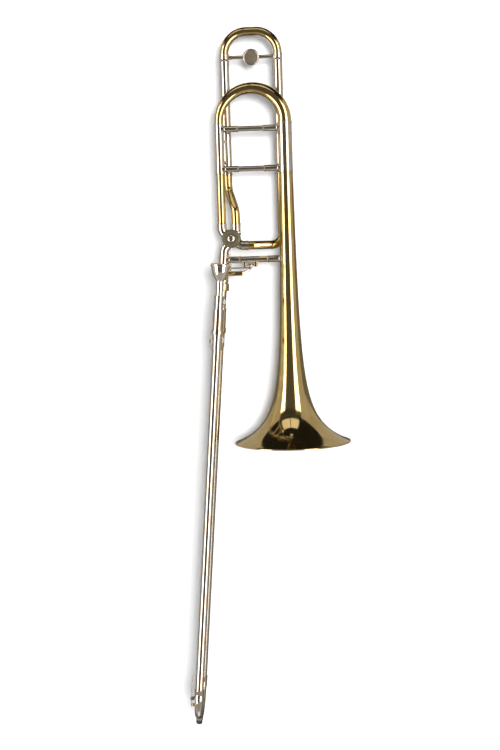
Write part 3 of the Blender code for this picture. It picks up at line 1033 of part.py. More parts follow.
def build_lever():
    """The thumb lever with its paddle and spring, and the link to the rotor."""
    spring_room = 0.0036
    left = LEVER_POST_X[0] + LEVER_POST_WIDTH / 2 + GAP + spring_room
    right = LEVER_POST_X[1] - LEVER_POST_WIDTH / 2 - GAP
    start, end = (left, 0.0, LEVER_PIVOT_Z), (right, 0.0, LEVER_PIVOT_Z)
    lever = bar("thumb_lever", LEVER_BARREL_RADIUS, start, end, "silver_plate", BELL)
    arm_x = (left + right) / 2
    ball_point = (CRANK_X, BALL_Y, BALL_Z)
    arm_root = (arm_x, LEVER_BARREL_RADIUS * 0.6, LEVER_PIVOT_Z)
    route = rounded_route([arm_root, (arm_x, BALL_Y, BALL_Z), ball_point], (0.007,), 4)
    join(lever, bent_tube("lever_rod_helper", route, LEVER_ROD_RADIUS, 0, None, BELL, roundness=3))
    join(lever, ball("lever_ball_helper", BALL_RADIUS, ball_point, None, BELL))
    paddle_z = LEVER_PIVOT_Z - PADDLE_DROP
    paddle_right = LEVER_POST_X[0] - 0.0025
    arm_end = (paddle_right - 0.002, PADDLE_Y + PADDLE_THICKNESS / 2 + GAP + 0.0023, paddle_z)
    bend = (arm_x - 0.002, PADDLE_Y * 0.62, LEVER_PIVOT_Z - PADDLE_DROP * 0.55)
    arm_root = (arm_x, -LEVER_BARREL_RADIUS * 0.6, LEVER_PIVOT_Z - 0.0006)
    route = rounded_route([arm_root, bend, arm_end], (0.009,), 4)
    join(lever, bent_tube("lever_arm_helper", route, 0.0021, 0, None, BELL, roundness=3))
    pad_size = (0.008, 0.0016, PADDLE_HEIGHT * 0.7)
    pad_y = PADDLE_Y + PADDLE_THICKNESS / 2 + GAP + 0.0008
    join(lever, block("lever_pad_helper", pad_size, (paddle_right - 0.004, pad_y, paddle_z), None, BELL))
    hole_start, hole_end = (left - 0.004, 0.0, LEVER_PIVOT_Z), (right + 0.004, 0.0, LEVER_PIVOT_Z)
    cut(lever, cutter_bar("lever_hole_cutter", LEVER_SCREW_RADIUS, hole_start, hole_end, BELL))

    size = (PADDLE_LENGTH, PADDLE_THICKNESS, PADDLE_HEIGHT)
    centre = (paddle_right - PADDLE_LENGTH / 2, PADDLE_Y, paddle_z)
    block("thumb_paddle", size, centre, "lacquered_brass", BELL, 0.0011)

    spring_wire = 0.00035
    coil = LEVER_SCREW_RADIUS + GAP + spring_wire + 0.0002
    first = (LEVER_POST_X[0] + LEVER_POST_WIDTH / 2 + GAP + spring_wire, 0.0, LEVER_PIVOT_Z)
    pitch = (spring_room - 2 * spring_wire - GAP) / 3
    bent_tube("lever_spring", helix(first, coil, pitch, 3), spring_wire, 0, "steel", BELL, roundness=2)

    sway = LEVER_ARM_LENGTH * (1 - math.cos(LEVER_SWING / 2)) / 2
    hole = BALL_RADIUS + GAP + sway
    low_eye_top = BALL_Z + hole + EYE_WIRE_RADIUS
    eye_y = BALL_Y + sway
    shaft_start = (CRANK_X, eye_y, low_eye_top)
    shaft_end = (CRANK_X, eye_y, CRANK_Z - 0.0024)
    link = bar("link_rod", LINK_RADIUS, shaft_start, shaft_end, "nickel_silver", BELL)
    low_centre = (CRANK_X, eye_y, BALL_Z)
    join(link, eye_ring("low_eye_helper", hole, EYE_WIRE_RADIUS, low_centre, FACING_RIGHT, None, BELL))
    top_centre = (CRANK_X, eye_y, CRANK_Z)
    join(link, eye_ring("top_eye_helper", 0.0012, EYE_WIRE_RADIUS, top_centre, FACING_FRONT, None, BELL))


def smooth_everything():
    """Shades the block and ball pieces smooth where their faces turn gently."""
    for obj in PARTS.objects:
        if obj.type == "MESH" and obj.data.polygons:
            obj.data.set_sharp_from_angle(angle=math.radians(35))


build_inner_slide()
build_neck_joint()
build_lock_ring()
build_mouthpiece()
build_outer_slide()
build_water_key()
build_knuckles()
build_valve()
build_tuning_receivers()
build_tuning_slide()
build_bell()
build_f_slide()
build_f_tubes()
build_bell_brace()
build_lever()
smooth_everything()
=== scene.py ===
"""Dresses the tenor trombone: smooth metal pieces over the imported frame, a studio and a camera.

Metres, +Z up. The slide section hangs at a small angle to the bell section. Places are given
in one of two frames that meet at the neck joint: the slide's, whose Z axis runs up the rear
slide tube, and the bell's, which stands upright.
"""

import logging
import math
from dataclasses import dataclass
from enum import Enum

import bmesh
import bpy
from mathutils import Matrix, Vector


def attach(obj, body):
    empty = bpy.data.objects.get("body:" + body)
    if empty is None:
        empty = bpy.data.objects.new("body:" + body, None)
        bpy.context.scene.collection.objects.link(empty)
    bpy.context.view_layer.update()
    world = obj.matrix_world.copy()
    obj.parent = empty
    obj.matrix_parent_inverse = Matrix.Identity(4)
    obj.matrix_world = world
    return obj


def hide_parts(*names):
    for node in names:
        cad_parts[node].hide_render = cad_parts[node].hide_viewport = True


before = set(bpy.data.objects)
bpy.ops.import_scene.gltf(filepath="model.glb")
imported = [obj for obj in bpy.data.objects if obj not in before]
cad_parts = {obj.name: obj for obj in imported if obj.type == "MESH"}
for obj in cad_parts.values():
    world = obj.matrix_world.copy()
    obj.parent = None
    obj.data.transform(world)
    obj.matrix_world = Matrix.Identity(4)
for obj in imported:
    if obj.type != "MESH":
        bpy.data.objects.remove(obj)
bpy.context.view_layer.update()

LOG = logging.getLogger("tenor_trombone")
Outline = list[tuple[float, float]]
Point = tuple[float, float, float]

SLIDE_TILT = math.radians(4.7)
TUBE_SPACING = 0.080
NECK_JOINT = Matrix.Rotation(SLIDE_TILT, 4, "Y") @ Vector((0.0, TUBE_SPACING / 2, 0.027))
BELL_FRAME = Matrix.Translation(NECK_JOINT)
SLIDE_FRAME = BELL_FRAME @ Matrix.Rotation(SLIDE_TILT, 4, "Y")
FRONT_TUBE = SLIDE_FRAME @ Matrix.Translation((0.0, -TUBE_SPACING, 0.0))
FACING_FRONT = Matrix.Rotation(math.pi / 2, 4, "X")
FACING_BACK = Matrix.Rotation(-math.pi / 2, 4, "X")
FACING_RIGHT = Matrix.Rotation(math.pi / 2, 4, "Y")


@dataclass(frozen=True)
class Skin:
    """How a finish looks.

    Args:
        slot: The record's material slot; not used.
        colour: Its clean colour.
        tint: The colour that thin haze or wear gives it.
        metallic: 1 for metal, 0 otherwise.
        gloss: Roughness where it is cleanest, and where it is most handled.
        clouds: How many clouds of haze a metre holds.
        grain: How many grains a metre holds, and their height in metres.
    """

    slot: str
    colour: Point
    tint: Point
    metallic: float
    gloss: tuple[float, float]
    clouds: float
    grain: tuple[float, float]


class Finish(Enum):
    """The finishes of the instrument."""

    LACQUER = Skin("lacquered_brass", (0.68, 0.53, 0.25), (0.58, 0.44, 0.19), 1.0, (0.08, 0.14), 34, (900, 0.000005))
    NICKEL = Skin("nickel_silver", (0.66, 0.61, 0.54), (0.56, 0.51, 0.44), 1.0, (0.09, 0.17), 40, (1100, 0.000006))
    BRASS = Skin("bare_brass", (0.76, 0.56, 0.26), (0.52, 0.37, 0.17), 1.0, (0.25, 0.40), 60, (1500, 0.00002))
    SILVER = Skin("silver_plate", (0.85, 0.81, 0.77), (0.73, 0.68, 0.62), 1.0, (0.07, 0.14), 50, (900, 0.000004))
    ETCHED = Skin("etched_nickel", (0.15, 0.13, 0.075), (0.07, 0.062, 0.04), 0.6, (0.42, 0.60), 300, (1500, 0.0003))
    FIELD = Skin("nickel_silver", (0.22, 0.19, 0.135), (0.12, 0.10, 0.07), 0.6, (0.34, 0.50), 420, (1300, 0.0002))
    STEEL = Skin("steel", (0.55, 0.55, 0.56), (0.42, 0.42, 0.43), 1.0, (0.22, 0.38), 90, (1500, 0.00002))
    RUBBER = Skin("black_rubber", (0.018, 0.018, 0.019), (0.035, 0.033, 0.03), 0.0, (0.60, 0.80), 90, (2600, 0.00006))
    CORK = Skin("cork", (0.52, 0.36, 0.20), (0.30, 0.19, 0.10), 0.0, (0.80, 0.95), 500, (1600, 0.0003))


def add_socket(group: bpy.types.NodeTree, name: str, way: str, kind: str) -> None:
    """Adds one socket to a node group's interface.

    Args:
        group: The node group.
        name: The socket's name.
        way: INPUT or OUTPUT.
        kind: Float, Color or Vector.
    """
    group.interface.new_socket(name=name, in_out=way, socket_type="NodeSocket" + kind)


def handled_surface() -> bpy.types.NodeTree:
    """Builds the shared effect: clouds of haze and a fine grain.

    Returns:
        The node group.
    """
    group = bpy.data.node_groups.new("handled_surface", "ShaderNodeTree")
    for name in ("Clean", "Tint"):
        add_socket(group, name, "INPUT", "Color")
    for name in ("Polish", "Haze", "Cloud Scale", "Grain Scale", "Grain Depth"):
        add_socket(group, name, "INPUT", "Float")
    add_socket(group, "Colour", "OUTPUT", "Color")
    add_socket(group, "Roughness", "OUTPUT", "Float")
    add_socket(group, "Normal", "OUTPUT", "Vector")
    nodes, links = group.nodes, group.links
    entry = nodes.new("NodeGroupInput")
    leave = nodes.new("NodeGroupOutput")
    place = nodes.new("ShaderNodeTexCoord")
    cloud = nodes.new("ShaderNodeTexNoise")
    cloud.inputs["Detail"].default_value = 5.0
    cloud.inputs["Roughness"].default_value = 0.62
    spread = nodes.new("ShaderNodeMapRange")
    spread.inputs["From Min"].default_value = 0.38
    spread.inputs["From Max"].default_value = 0.72
    grain = nodes.new("ShaderNodeTexNoise")
    grain.inputs["Detail"].default_value = 3.0
    colour = nodes.new("ShaderNodeMix")
    colour.data_type = "RGBA"
    rough = nodes.new("ShaderNodeMix")
    bump = nodes.new("ShaderNodeBump")
    bump.inputs["Strength"].default_value = 1.0
    height = nodes.new("ShaderNodeMath")
    height.operation = "MULTIPLY"
    links.new(place.outputs["Object"], cloud.inputs["Vector"])
    links.new(place.outputs["Object"], grain.inputs["Vector"])
    links.new(entry.outputs["Cloud Scale"], cloud.inputs["Scale"])
    links.new(entry.outputs["Grain Scale"], grain.inputs["Scale"])
    links.new(cloud.outputs["Fac"], spread.inputs["Value"])
    links.new(spread.outputs["Result"], colour.inputs["Factor"])
    links.new(entry.outputs["Clean"], colour.inputs["A"])
    links.new(entry.outputs["Tint"], colour.inputs["B"])
    links.new(spread.outputs["Result"], rough.inputs["Factor"])
    links.new(entry.outputs["Polish"], rough.inputs["A"])
    links.new(entry.outputs["Haze"], rough.inputs["B"])
    links.new(grain.outputs["Fac"], height.inputs[0])
    links.new(entry.outputs["Grain Depth"], height.inputs[1])
    links.new(height.outputs["Value"], bump.inputs["Height"])
    links.new(colour.outputs["Result"], leave.inputs["Colour"])
    links.new(rough.outputs["Result"], leave.inputs["Roughness"])
    links.new(bump.outputs["Normal"], leave.inputs["Normal"])
    return group


class Palette:
    """The materials of the finishes, each made once."""

    def __init__(self) -> None:
        """Builds the shared effect first."""
        self.group = handled_surface()
        self.made: dict[Finish, bpy.types.Material] = {}

    def material(self, finish: Finish) -> bpy.types.Material:
        """Makes or finds a finish's material.

        Args:
            finish: The finish.

        Returns:
            Its material.
        """
        if finish in self.made:
            return self.made[finish]
        skin = finish.value
        material = bpy.data.materials.new(finish.name.lower() + "_skin")
        material.use_nodes = True
        tree = material.node_tree
        shader = tree.nodes["Principled BSDF"]
        effect = tree.nodes.new("ShaderNodeGroup")
        effect.node_tree = self.group
        effect.inputs["Clean"].default_value = (*skin.colour, 1.0)
        effect.inputs["Tint"].default_value = (*skin.tint, 1.0)
        effect.inputs["Polish"].default_value, effect.inputs["Haze"].default_value = skin.gloss
        effect.inputs["Cloud Scale"].default_value = skin.clouds
        effect.inputs["Grain Scale"].default_value, effect.inputs["Grain Depth"].default_value = skin.grain
        tree.links.new(effect.outputs["Colour"], shader.inputs["Base Color"])
        tree.links.new(effect.outputs["Roughness"], shader.inputs["Roughness"])
        tree.links.new(effect.outputs["Normal"], shader.inputs["Normal"])
        shader.inputs["Metallic"].default_value = skin.metallic
        self.made[finish] = material
        return material


PALETTE = Palette()


def lathe(outline: Outline, place: Matrix, steps: int = 64) -> bmesh.types.BMesh:
    """Turns an outline about its Z axis and puts it in place.

    Args:
        outline: Points of radius and height.
        place: Where the turned shape goes.
        steps: Facets round the axis.

    Returns:
        The closed shape.
    """
    shape = bmesh.new()
    rim = [shape.verts.new((radius, 0.0, height)) for radius, height in outline]
    edges = [shape.edges.new(pair) for pair in zip(rim, rim[1:])]
    if outline[0][0] > 0.0:
        edges.append(shape.edges.new((rim[-1], rim[0])))
    geometry = rim + edges
    axis = (0.0, 0.0, 1.0)
    bmesh.ops.spin(shape, geom=geometry, cent=(0, 0, 0), axis=axis, angle=2 * math.pi, steps=steps, use_merge=True)
    bmesh.ops.remove_doubles(shape, verts=shape.verts, dist=0.000002)
    bmesh.ops.recalc_face_normals(shape, faces=shape.faces)
    shape.transform(place)
    return shape


def pipe(outer: float, inner: float, top: float, bottom: float, edge: float = 0.0001) -> Outline:
    """Outline of a pipe with broken edges.

    Args:
        outer: Outer radius.
        inner: Radius of the bore.
        top: Height of the top end.
        bottom: Height of the bottom end.
        edge: Size of the broken edge.

    Returns:
        The outline.
    """
    outline = [(outer - edge, top), (outer, top - edge), (outer, bottom + edge)]
    return outline + [(outer - edge, bottom), (inner, bottom), (inner, top)]


def aimed(start: Vector, end: Vector) -> Matrix:
    """Frame at the start whose Z axis points to the end."""
    turn = (Vector(end) - Vector(start)).to_track_quat("Z", "Y").to_matrix().to_4x4()
    return Matrix.Translation(start) @ turn


def rod(radius: float, start: Point, end: Point, place: Matrix, edge: float = 0.0003) -> bmesh.types.BMesh:
    """A solid round bar with broken edges between two points."""
    length = (Vector(end) - Vector(start)).length
    outline = [(0.0, length), (radius - edge, length), (radius, length - edge)]
    outline += [(radius, edge), (radius - edge, 0.0), (0.0, 0.0)]
    return lathe(outline, place @ aimed(Vector(start), Vector(end)), 40)


def slab(size: Point, centre: Point, place: Matrix, edge: float, turn: float = 0.0) -> bmesh.types.BMesh:
    """A block with rounded edges.

    Args:
        size: Its three sizes.
        centre: Its middle.
        place: The frame it is in.
        edge: Radius of its edges.
        turn: Turn about Y.

    Returns:
        The shape.
    """
    shape = bmesh.new()
    bmesh.ops.create_cube(shape, size=1.0)
    bmesh.ops.scale(shape, vec=size, verts=shape.verts)
    bmesh.ops.bevel(
        shape, geom=shape.edges, offset=edge, segments=4, profile=0.5, affect="EDGES", material=-1
    )
    shape.transform(place @ Matrix.Translation(centre) @ Matrix.Rotation(turn, 4, "Y"))
    return shape


def bead(radius: float, centre: Point, place: Matrix) -> bmesh.types.BMesh:
    """A small ball."""
    shape = bmesh.new()
    bmesh.ops.create_uvsphere(shape, u_segments=32, v_segments=16, radius=radius)
    shape.transform(place @ Matrix.Translation(centre))
    return shape


def wire_ring(hole: float, wire: float, place: Matrix, steps: int = 48) -> bmesh.types.BMesh:
    """A ring of round wire about the Z axis of its place."""
    outline = []
    for step in range(16):
        angle = 2 * math.pi * step / 16
        outline.append((hole + wire + wire * math.cos(angle), -wire * math.sin(angle)))
    return lathe(outline, place, steps)


def rounded_route(corners: list[Point], bends: list[float], steps: int = 16) -> list[Vector]:
    """Route through corners that are rounded by arcs.

    Args:
        corners: The route's corners, its ends included.
        bends: Radius of the arc at each inner corner.
        steps: Pieces of an arc.

    Returns:
        The route's points.
    """
    points = [Vector(corners[0])]
    for index, bend in enumerate(bends, start=1):
        corner = Vector(corners[index])
        before = (Vector(corners[index - 1]) - corner).normalized()
        after = (Vector(corners[index + 1]) - corner).normalized()
        half = before.angle(after) / 2
        centre = corner + (before + after).normalized() * bend / math.sin(half)
        start = corner + before * bend / math.tan(half) - centre
        end = corner + after * bend / math.tan(half) - centre
        turn = start.angle(end)
        for step in range(steps + 1):
            share = step / steps
            swing = start * math.sin((1 - share) * turn) + end * math.sin(share * turn)
            points.append(centre + swing / math.sin(turn))
    points.append(Vector(corners[-1]))
    return points


def sweep(
    route: list[Vector], radius: float, place: Matrix, end_radius: float = 0.0, ring: int = 14
) -> bmesh.types.BMesh:
    """A round bar along a route, closed at both ends.

    Args:
        route: The points it follows.
        radius: Its radius.
        place: The frame that the route is in.
        end_radius: Its radius at the end, where it grows.
        ring: Fineness of its section.

    Returns:
        The shape.
    """
    curve = bpy.data.curves.new("route", "CURVE")
    curve.dimensions = "3D"
    curve.bevel_depth = radius
    curve.bevel_resolution = ring
    curve.use_fill_caps = True
    spline = curve.splines.new("POLY")
    spline.points.add(len(route) - 1)
    growth = end_radius / radius - 1 if end_radius else 0.0
    for index, point in enumerate(route):
        share = min(max((index - 1) / max(len(route) - 3, 1), 0.0), 1.0)
        spline.points[index].co = (*point, 1.0)
        spline.points[index].radius = 1 + growth * share
    sketch = bpy.data.objects.new("route", curve)
    bpy.context.scene.collection.objects.link(sketch)
    bpy.context.view_layer.update()
    solid = sketch.evaluated_get(bpy.context.evaluated_depsgraph_get())
    mesh = bpy.data.meshes.new_from_object(solid)
    bpy.data.objects.remove(sketch, do_unlink=True)
    shape = bmesh.new()
    shape.from_mesh(mesh)
    bpy.data.meshes.remove(mesh)
    bmesh.ops.remove_doubles(shape, verts=shape.verts, dist=0.000002)
    bmesh.ops.recalc_face_normals(shape, faces=shape.faces)
    for face in shape.faces:
        face.material_index = 0
    shape.transform(place)
    return shape


def half_ring(centre: Point, radius: float, steps: int = 48) -> list[Vector]:
    """Points of an upright half circle, left foot to right foot."""
    points = []
    for step in range(steps + 1):
        angle = math.pi * step / steps
        offset = Vector((-radius * math.cos(angle), 0.0, radius * math.sin(angle)))
        points.append(Vector(centre) + offset)
    return points


def brace(
    start: Point, end: Point, tubes: tuple[float, float], radius: float, socket: float, reach: float, place: Matrix
) -> bmesh.types.BMesh:
    """A soldered brace: a bar, two beaded sockets and two feet that flare onto their tubes.

    Args:
        start: A point on the first tube's axis.
        end: A point on the second tube's axis.
        tubes: Radii of the two tubes.
        radius: Radius of the bar.
        socket: Radius of the sockets.
        reach: How far a socket reaches from its tube.
        place: The frame that the points are in.

    Returns:
        The shape.
    """
    span = (Vector(end) - Vector(start)).length
    half: list[Outline] = []
    for tube in tubes:
        foot = min(socket * 1.38, tube * 0.93)
        flare = foot - socket
        wall = math.sqrt(tube**2 - foot**2)
        side = [(0.0, wall * 0.9), (foot, wall * 0.9), (foot, tube + 0.0004)]
        for step in range(1, 7):
            angle = math.pi / 2 * step / 6
            side.append((foot - flare * math.sin(angle), tube + 0.0004 + flare * 1.3 * (1 - math.cos(angle))))
        ring = socket * 0.10
        side += [(socket, tube + reach - 0.0012), (socket + ring, tube + reach - 0.0009)]
        side += [(socket + ring, tube + reach + 0.0005), (socket, tube + reach + 0.0009)]
        side += [(radius, tube + reach + 0.0012)]
        half.append(side)
    outline = half[0] + [(r, span - h) for r, h in reversed(half[1])]
    return lathe(outline[::-1], place @ aimed(Vector(start), Vector(end)), 56)


def gathered(shapes: list[bmesh.types.BMesh]) -> bmesh.types.BMesh:
    """Puts several shapes into one and frees them."""
    whole = bmesh.new()
    for shape in shapes:
        mesh = bpy.data.meshes.new("shape")
        shape.to_mesh(mesh)
        shape.free()
        whole.from_mesh(mesh)
        bpy.data.meshes.remove(mesh)
    return whole


def fit(node: str, body: str, finish: Finish, *shapes: bmesh.types.BMesh) -> bpy.types.Object:
    """Makes the piece that stands for a CAD node.

    Args:
        node: The node that it replaces.
        body: The body that it rides on.
        finish: Its finish.
        shapes: Its shapes.

    Returns:
        The piece.
    """
    whole = gathered(list(shapes))
    mesh = bpy.data.meshes.new(node + "_dressed")
    whole.to_mesh(mesh)
    whole.free()
    mesh.shade_smooth()
    mesh.set_sharp_from_angle(angle=math.radians(38))
    mesh.materials.append(PALETTE.material(finish))
    piece = bpy.data.objects.new(node + "_dressed", mesh)
    bpy.context.scene.collection.objects.link(piece)
    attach(piece, body)
    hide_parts(node)
    LOG.info("%s: %d faces", node, len(mesh.polygons))
    return piece


def repaint(node: str, finish: Finish) -> None:
    """Gives a CAD node that keeps its shape the finish's material."""
    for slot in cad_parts[node].material_slots:
        slot.material = PALETTE.material(finish)
    LOG.info("%s: repainted", node)


@dataclass
class InnerSlide:
    """The inner slide tubes with receiver, barrels, tenon and the gripped brace."""

    tube: float = 0.00695
    stocking: float = 0.00705
    bore: float = 0.00665
    tube_end: float = -0.740
    tube_collar: float = 0.00725
    receiver: float = 0.0079
    receiver_mouth: float = -0.0143
    barrel: float = 0.0092
    barrel_bore: float = 0.0080
    barrel_top: float = -0.038
    barrel_bottom: float = -0.0853
    groove_top: float = -0.075
    groove: float = 0.0087
    collar: float = 0.0090
    tenon: float = 0.0077
    tenon_tip: float = 0.0073
    tenon_top: float = 0.026
    brace_drop: float = -0.027

    def build(self) -> None:
        """Builds every piece of the inner slide."""
        body = "inner_slide"
        for node, place, top in (("upper_inner_tube", FRONT_TUBE, -0.030), ("lower_inner_tube", SLIDE_FRAME, -0.0095)):
            outline = [(self.tube, top), (self.tube, self.tube_end + 0.121), (self.stocking, self.tube_end + 0.120)]
            outline += [(self.stocking, self.tube_end), (self.bore, self.tube_end), (self.bore, top)]
            fit(node, body, Finish.NICKEL, lathe(outline, place))
        mouth = self.receiver_mouth
        outline = [(0.00665, mouth), (0.0080, mouth), (0.0086, mouth - 0.0005), (0.0086, mouth - 0.0029)]
        outline += [(0.0083, mouth - 0.0034), (self.receiver, mouth - 0.0038), (self.receiver, -0.0377)]
        outline += [(self.tube_collar, -0.0377), (self.tube_collar, -0.0296), (0.00665, -0.0296)]
        fit("mouthpiece_receiver", body, Finish.NICKEL, lathe(outline, FRONT_TUBE))
        fit("upper_cork_barrel", body, Finish.NICKEL, lathe(self.front_barrel(), FRONT_TUBE))
        fit("lower_cork_barrel", body, Finish.NICKEL, lathe(self.rear_barrel(), SLIDE_FRAME))
        outline = [(self.tenon_tip - 0.0003, self.tenon_top), (self.tenon_tip, self.tenon_top - 0.0004)]
        outline += [(self.tenon, -0.0003), (self.collar, -0.0003), (self.collar, -0.0035)]
        outline += [(self.receiver, -0.0035), (self.receiver, -0.0377), (self.tube_collar, -0.0377)]
        outline += [(self.tube_collar, -0.0092), (0.00635, -0.0092), (0.00635, self.tenon_top)]
        fit("slide_tenon", body, Finish.NICKEL, lathe(outline, SLIDE_FRAME))
        start, end = (0.0, -TUBE_SPACING, self.brace_drop), (0.0, 0.0, self.brace_drop)
        tubes = (self.receiver, self.receiver)
        fit("hand_brace", body, Finish.NICKEL, brace(start, end, tubes, 0.0045, 0.00515, 0.0100, SLIDE_FRAME))
        repaint("leadpipe", Finish.BRASS)

    def shoulder(self) -> Outline:
        """Outline of a barrel's rounded top shoulder."""
        points = []
        for step in range(6):
            angle = math.pi / 2 * step / 5
            points.append((0.0080 + 0.0012 * math.sin(angle), self.barrel_top - 0.0012 * (1 - math.cos(angle))))
        return points

    def inside(self) -> Outline:
        """Outline of a barrel's bore, bottom to top."""
        cap = self.barrel_top - 0.004
        lip = self.barrel_bottom
        return [(self.barrel_bore, lip), (self.barrel_bore, cap), (self.tube_collar, cap), (self.tube_collar, -0.038)]

    def front_barrel(self) -> Outline:
        """Outline of the barrel that carries the lock ring."""
        top, bottom = self.groove_top, self.groove_top - 0.0094
        outline = self.shoulder() + [(self.barrel, top), (self.groove, top), (self.groove, bottom)]
        outline += [(self.barrel, bottom), (self.barrel, self.barrel_bottom)]
        return outline + self.inside()

    def rear_barrel(self) -> Outline:
        """Outline of the barrel with the raised band."""
        top, bottom, band = self.groove_top, self.barrel_bottom, self.barrel + 0.0010
        outline = self.shoulder() + [(self.barrel, top), (band, top - 0.0005)]
        outline += [(band, bottom + 0.0005), (self.barrel, bottom)]
        return outline + self.inside()


@dataclass
class NeckJoint:
    """The lock nut, the receiver above it and the slide's lock ring."""

    nut: float = 0.0120
    nut_top: float = 0.0075
    nut_bottom: float = -0.0071
    ring_inner: float = 0.0090
    ring_outer: float = 0.0108
    ring_top: float = -0.0753
    ring_height: float = 0.0088

    def build(self) -> None:
        """Builds the pieces round the neck joint."""
        top, bottom, nut = self.nut_top, self.nut_bottom, self.nut
        outline = [(0.0093, top), (nut - 0.0022, top)]
        for step in range(1, 8):
            angle = math.pi / 2 * step / 7
            outline.append((nut - 0.0022 * (1 - math.sin(angle)), top - 0.0022 * (1 - math.cos(angle))))
        for step in range(8):
            angle = math.pi / 2 * step / 7
            outline.append((nut - 0.0022 * (1 - math.cos(angle)), bottom + 0.0022 * (1 - math.sin(angle))))
        outline += [(0.0082, bottom), (0.0082, bottom + 0.0033), (0.0093, bottom + 0.0033)]
        fit("lock_nut", "lock_nut", Finish.LACQUER, lathe(outline, SLIDE_FRAME, 72))
        outline = [(0.0087, 0.032), (0.0093, 0.032), (0.0098, 0.0314), (0.0098, 0.0138), (0.0102, 0.0132)]
        outline += [(0.0104, 0.0125), (0.0104, 0.0100), (0.0100, 0.0088), (0.0090, 0.0085), (0.0090, 0.0)]
        outline += [(0.0080, 0.0), (0.0076, 0.026), (0.00665, 0.0263), (0.00665, 0.0266), (0.0087, 0.0266)]
        fit("neck_receiver", "bell_section", Finish.NICKEL, lathe(outline, SLIDE_FRAME, 72))
        self.build_lock_ring()

    def build_lock_ring(self) -> None:
        """Builds the lock ring with its tab and stud."""
        ring = pipe(self.ring_outer, self.ring_inner, self.ring_top, self.ring_top - self.ring_height, 0.0005)
        tab_centre = (-0.0103, 0.0, -0.0901)
        tab = slab((0.0010, 0.0060, 0.0196), tab_centre, FRONT_TUBE, 0.0004)
        knob = rod(0.0036, (-0.0104, 0.0, -0.0961), (-0.0138, 0.0, -0.0961), FRONT_TUBE, 0.0009)
        fit("slide_lock_ring", "slide_lock", Finish.NICKEL, lathe(ring, FRONT_TUBE, 72), tab, knob)


@dataclass
class Mouthpiece:
    """The silver mouthpiece with its rim, cup and shank."""

    rim_top: float = 0.043
    rim: float = 0.0186
    cup_rim: float = 0.0126
    cup_depth: float = 0.0245
    band: float = 0.0058
    bowl: float = 0.0168
    bowl_foot: float = 0.0068
    bowl_curve: float = 1.75
    bowl_length: float = 0.0308
    shank: float = 0.00635
    receiver_mouth: float = -0.0143
    tip: float = -0.0383
    tip_radius: float = 0.0061

    def outside(self) -> Outline:
        """Outline of the rim's band, the bowl and the shank, top to bottom.

        Returns:
            The outline.
        """
        top, rim, foot = self.rim_top, self.rim, self.rim_top - self.band
        outline = [(rim - 0.0018, top), (rim - 0.0007, top - 0.0004), (rim, top - 0.0014)]
        outline += [(rim, foot + 0.0009), (rim - 0.0003, foot + 0.0003), (rim - 0.0010, foot)]
        for step in range(13):
            share = step / 12
            width = self.bowl - (self.bowl - self.bowl_foot) * share ** self.bowl_curve
            outline.append((width, foot - 0.0002 - (self.bowl_length - self.band) * share))
        outline += [(self.shank + 0.0003, top - self.bowl_length - 0.0016)]
        outline += [(self.shank, top - self.bowl_length - 0.0028), (self.shank, self.receiver_mouth)]
        return outline + [(self.tip_radius, self.tip)]

    def inside(self) -> Outline:
        """Outline of the bore and the cup, bottom to top."""
        throat = self.rim_top - self.cup_depth
        outline = [(0.0053, self.tip), (0.0034, throat - 0.004), (0.0034, throat)]
        for step in range(1, 13):
            angle = math.pi / 2 * step / 12
            radius = 0.0034 + (self.cup_rim - 0.0036) * math.sin(angle) ** 0.8
            outline.append((radius, throat + (self.cup_depth - 0.0026) * (1 - math.cos(angle))))
        outline.append((self.cup_rim + 0.0006, self.rim_top - 0.0010))
        outline.append((self.cup_rim + 0.0018, self.rim_top - 0.0001))
        return outline

    def build(self) -> None:
        """Builds the mouthpiece."""
        fit("mouthpiece", "mouthpiece", Finish.SILVER, lathe(self.outside() + self.inside(), FRONT_TUBE, 96))


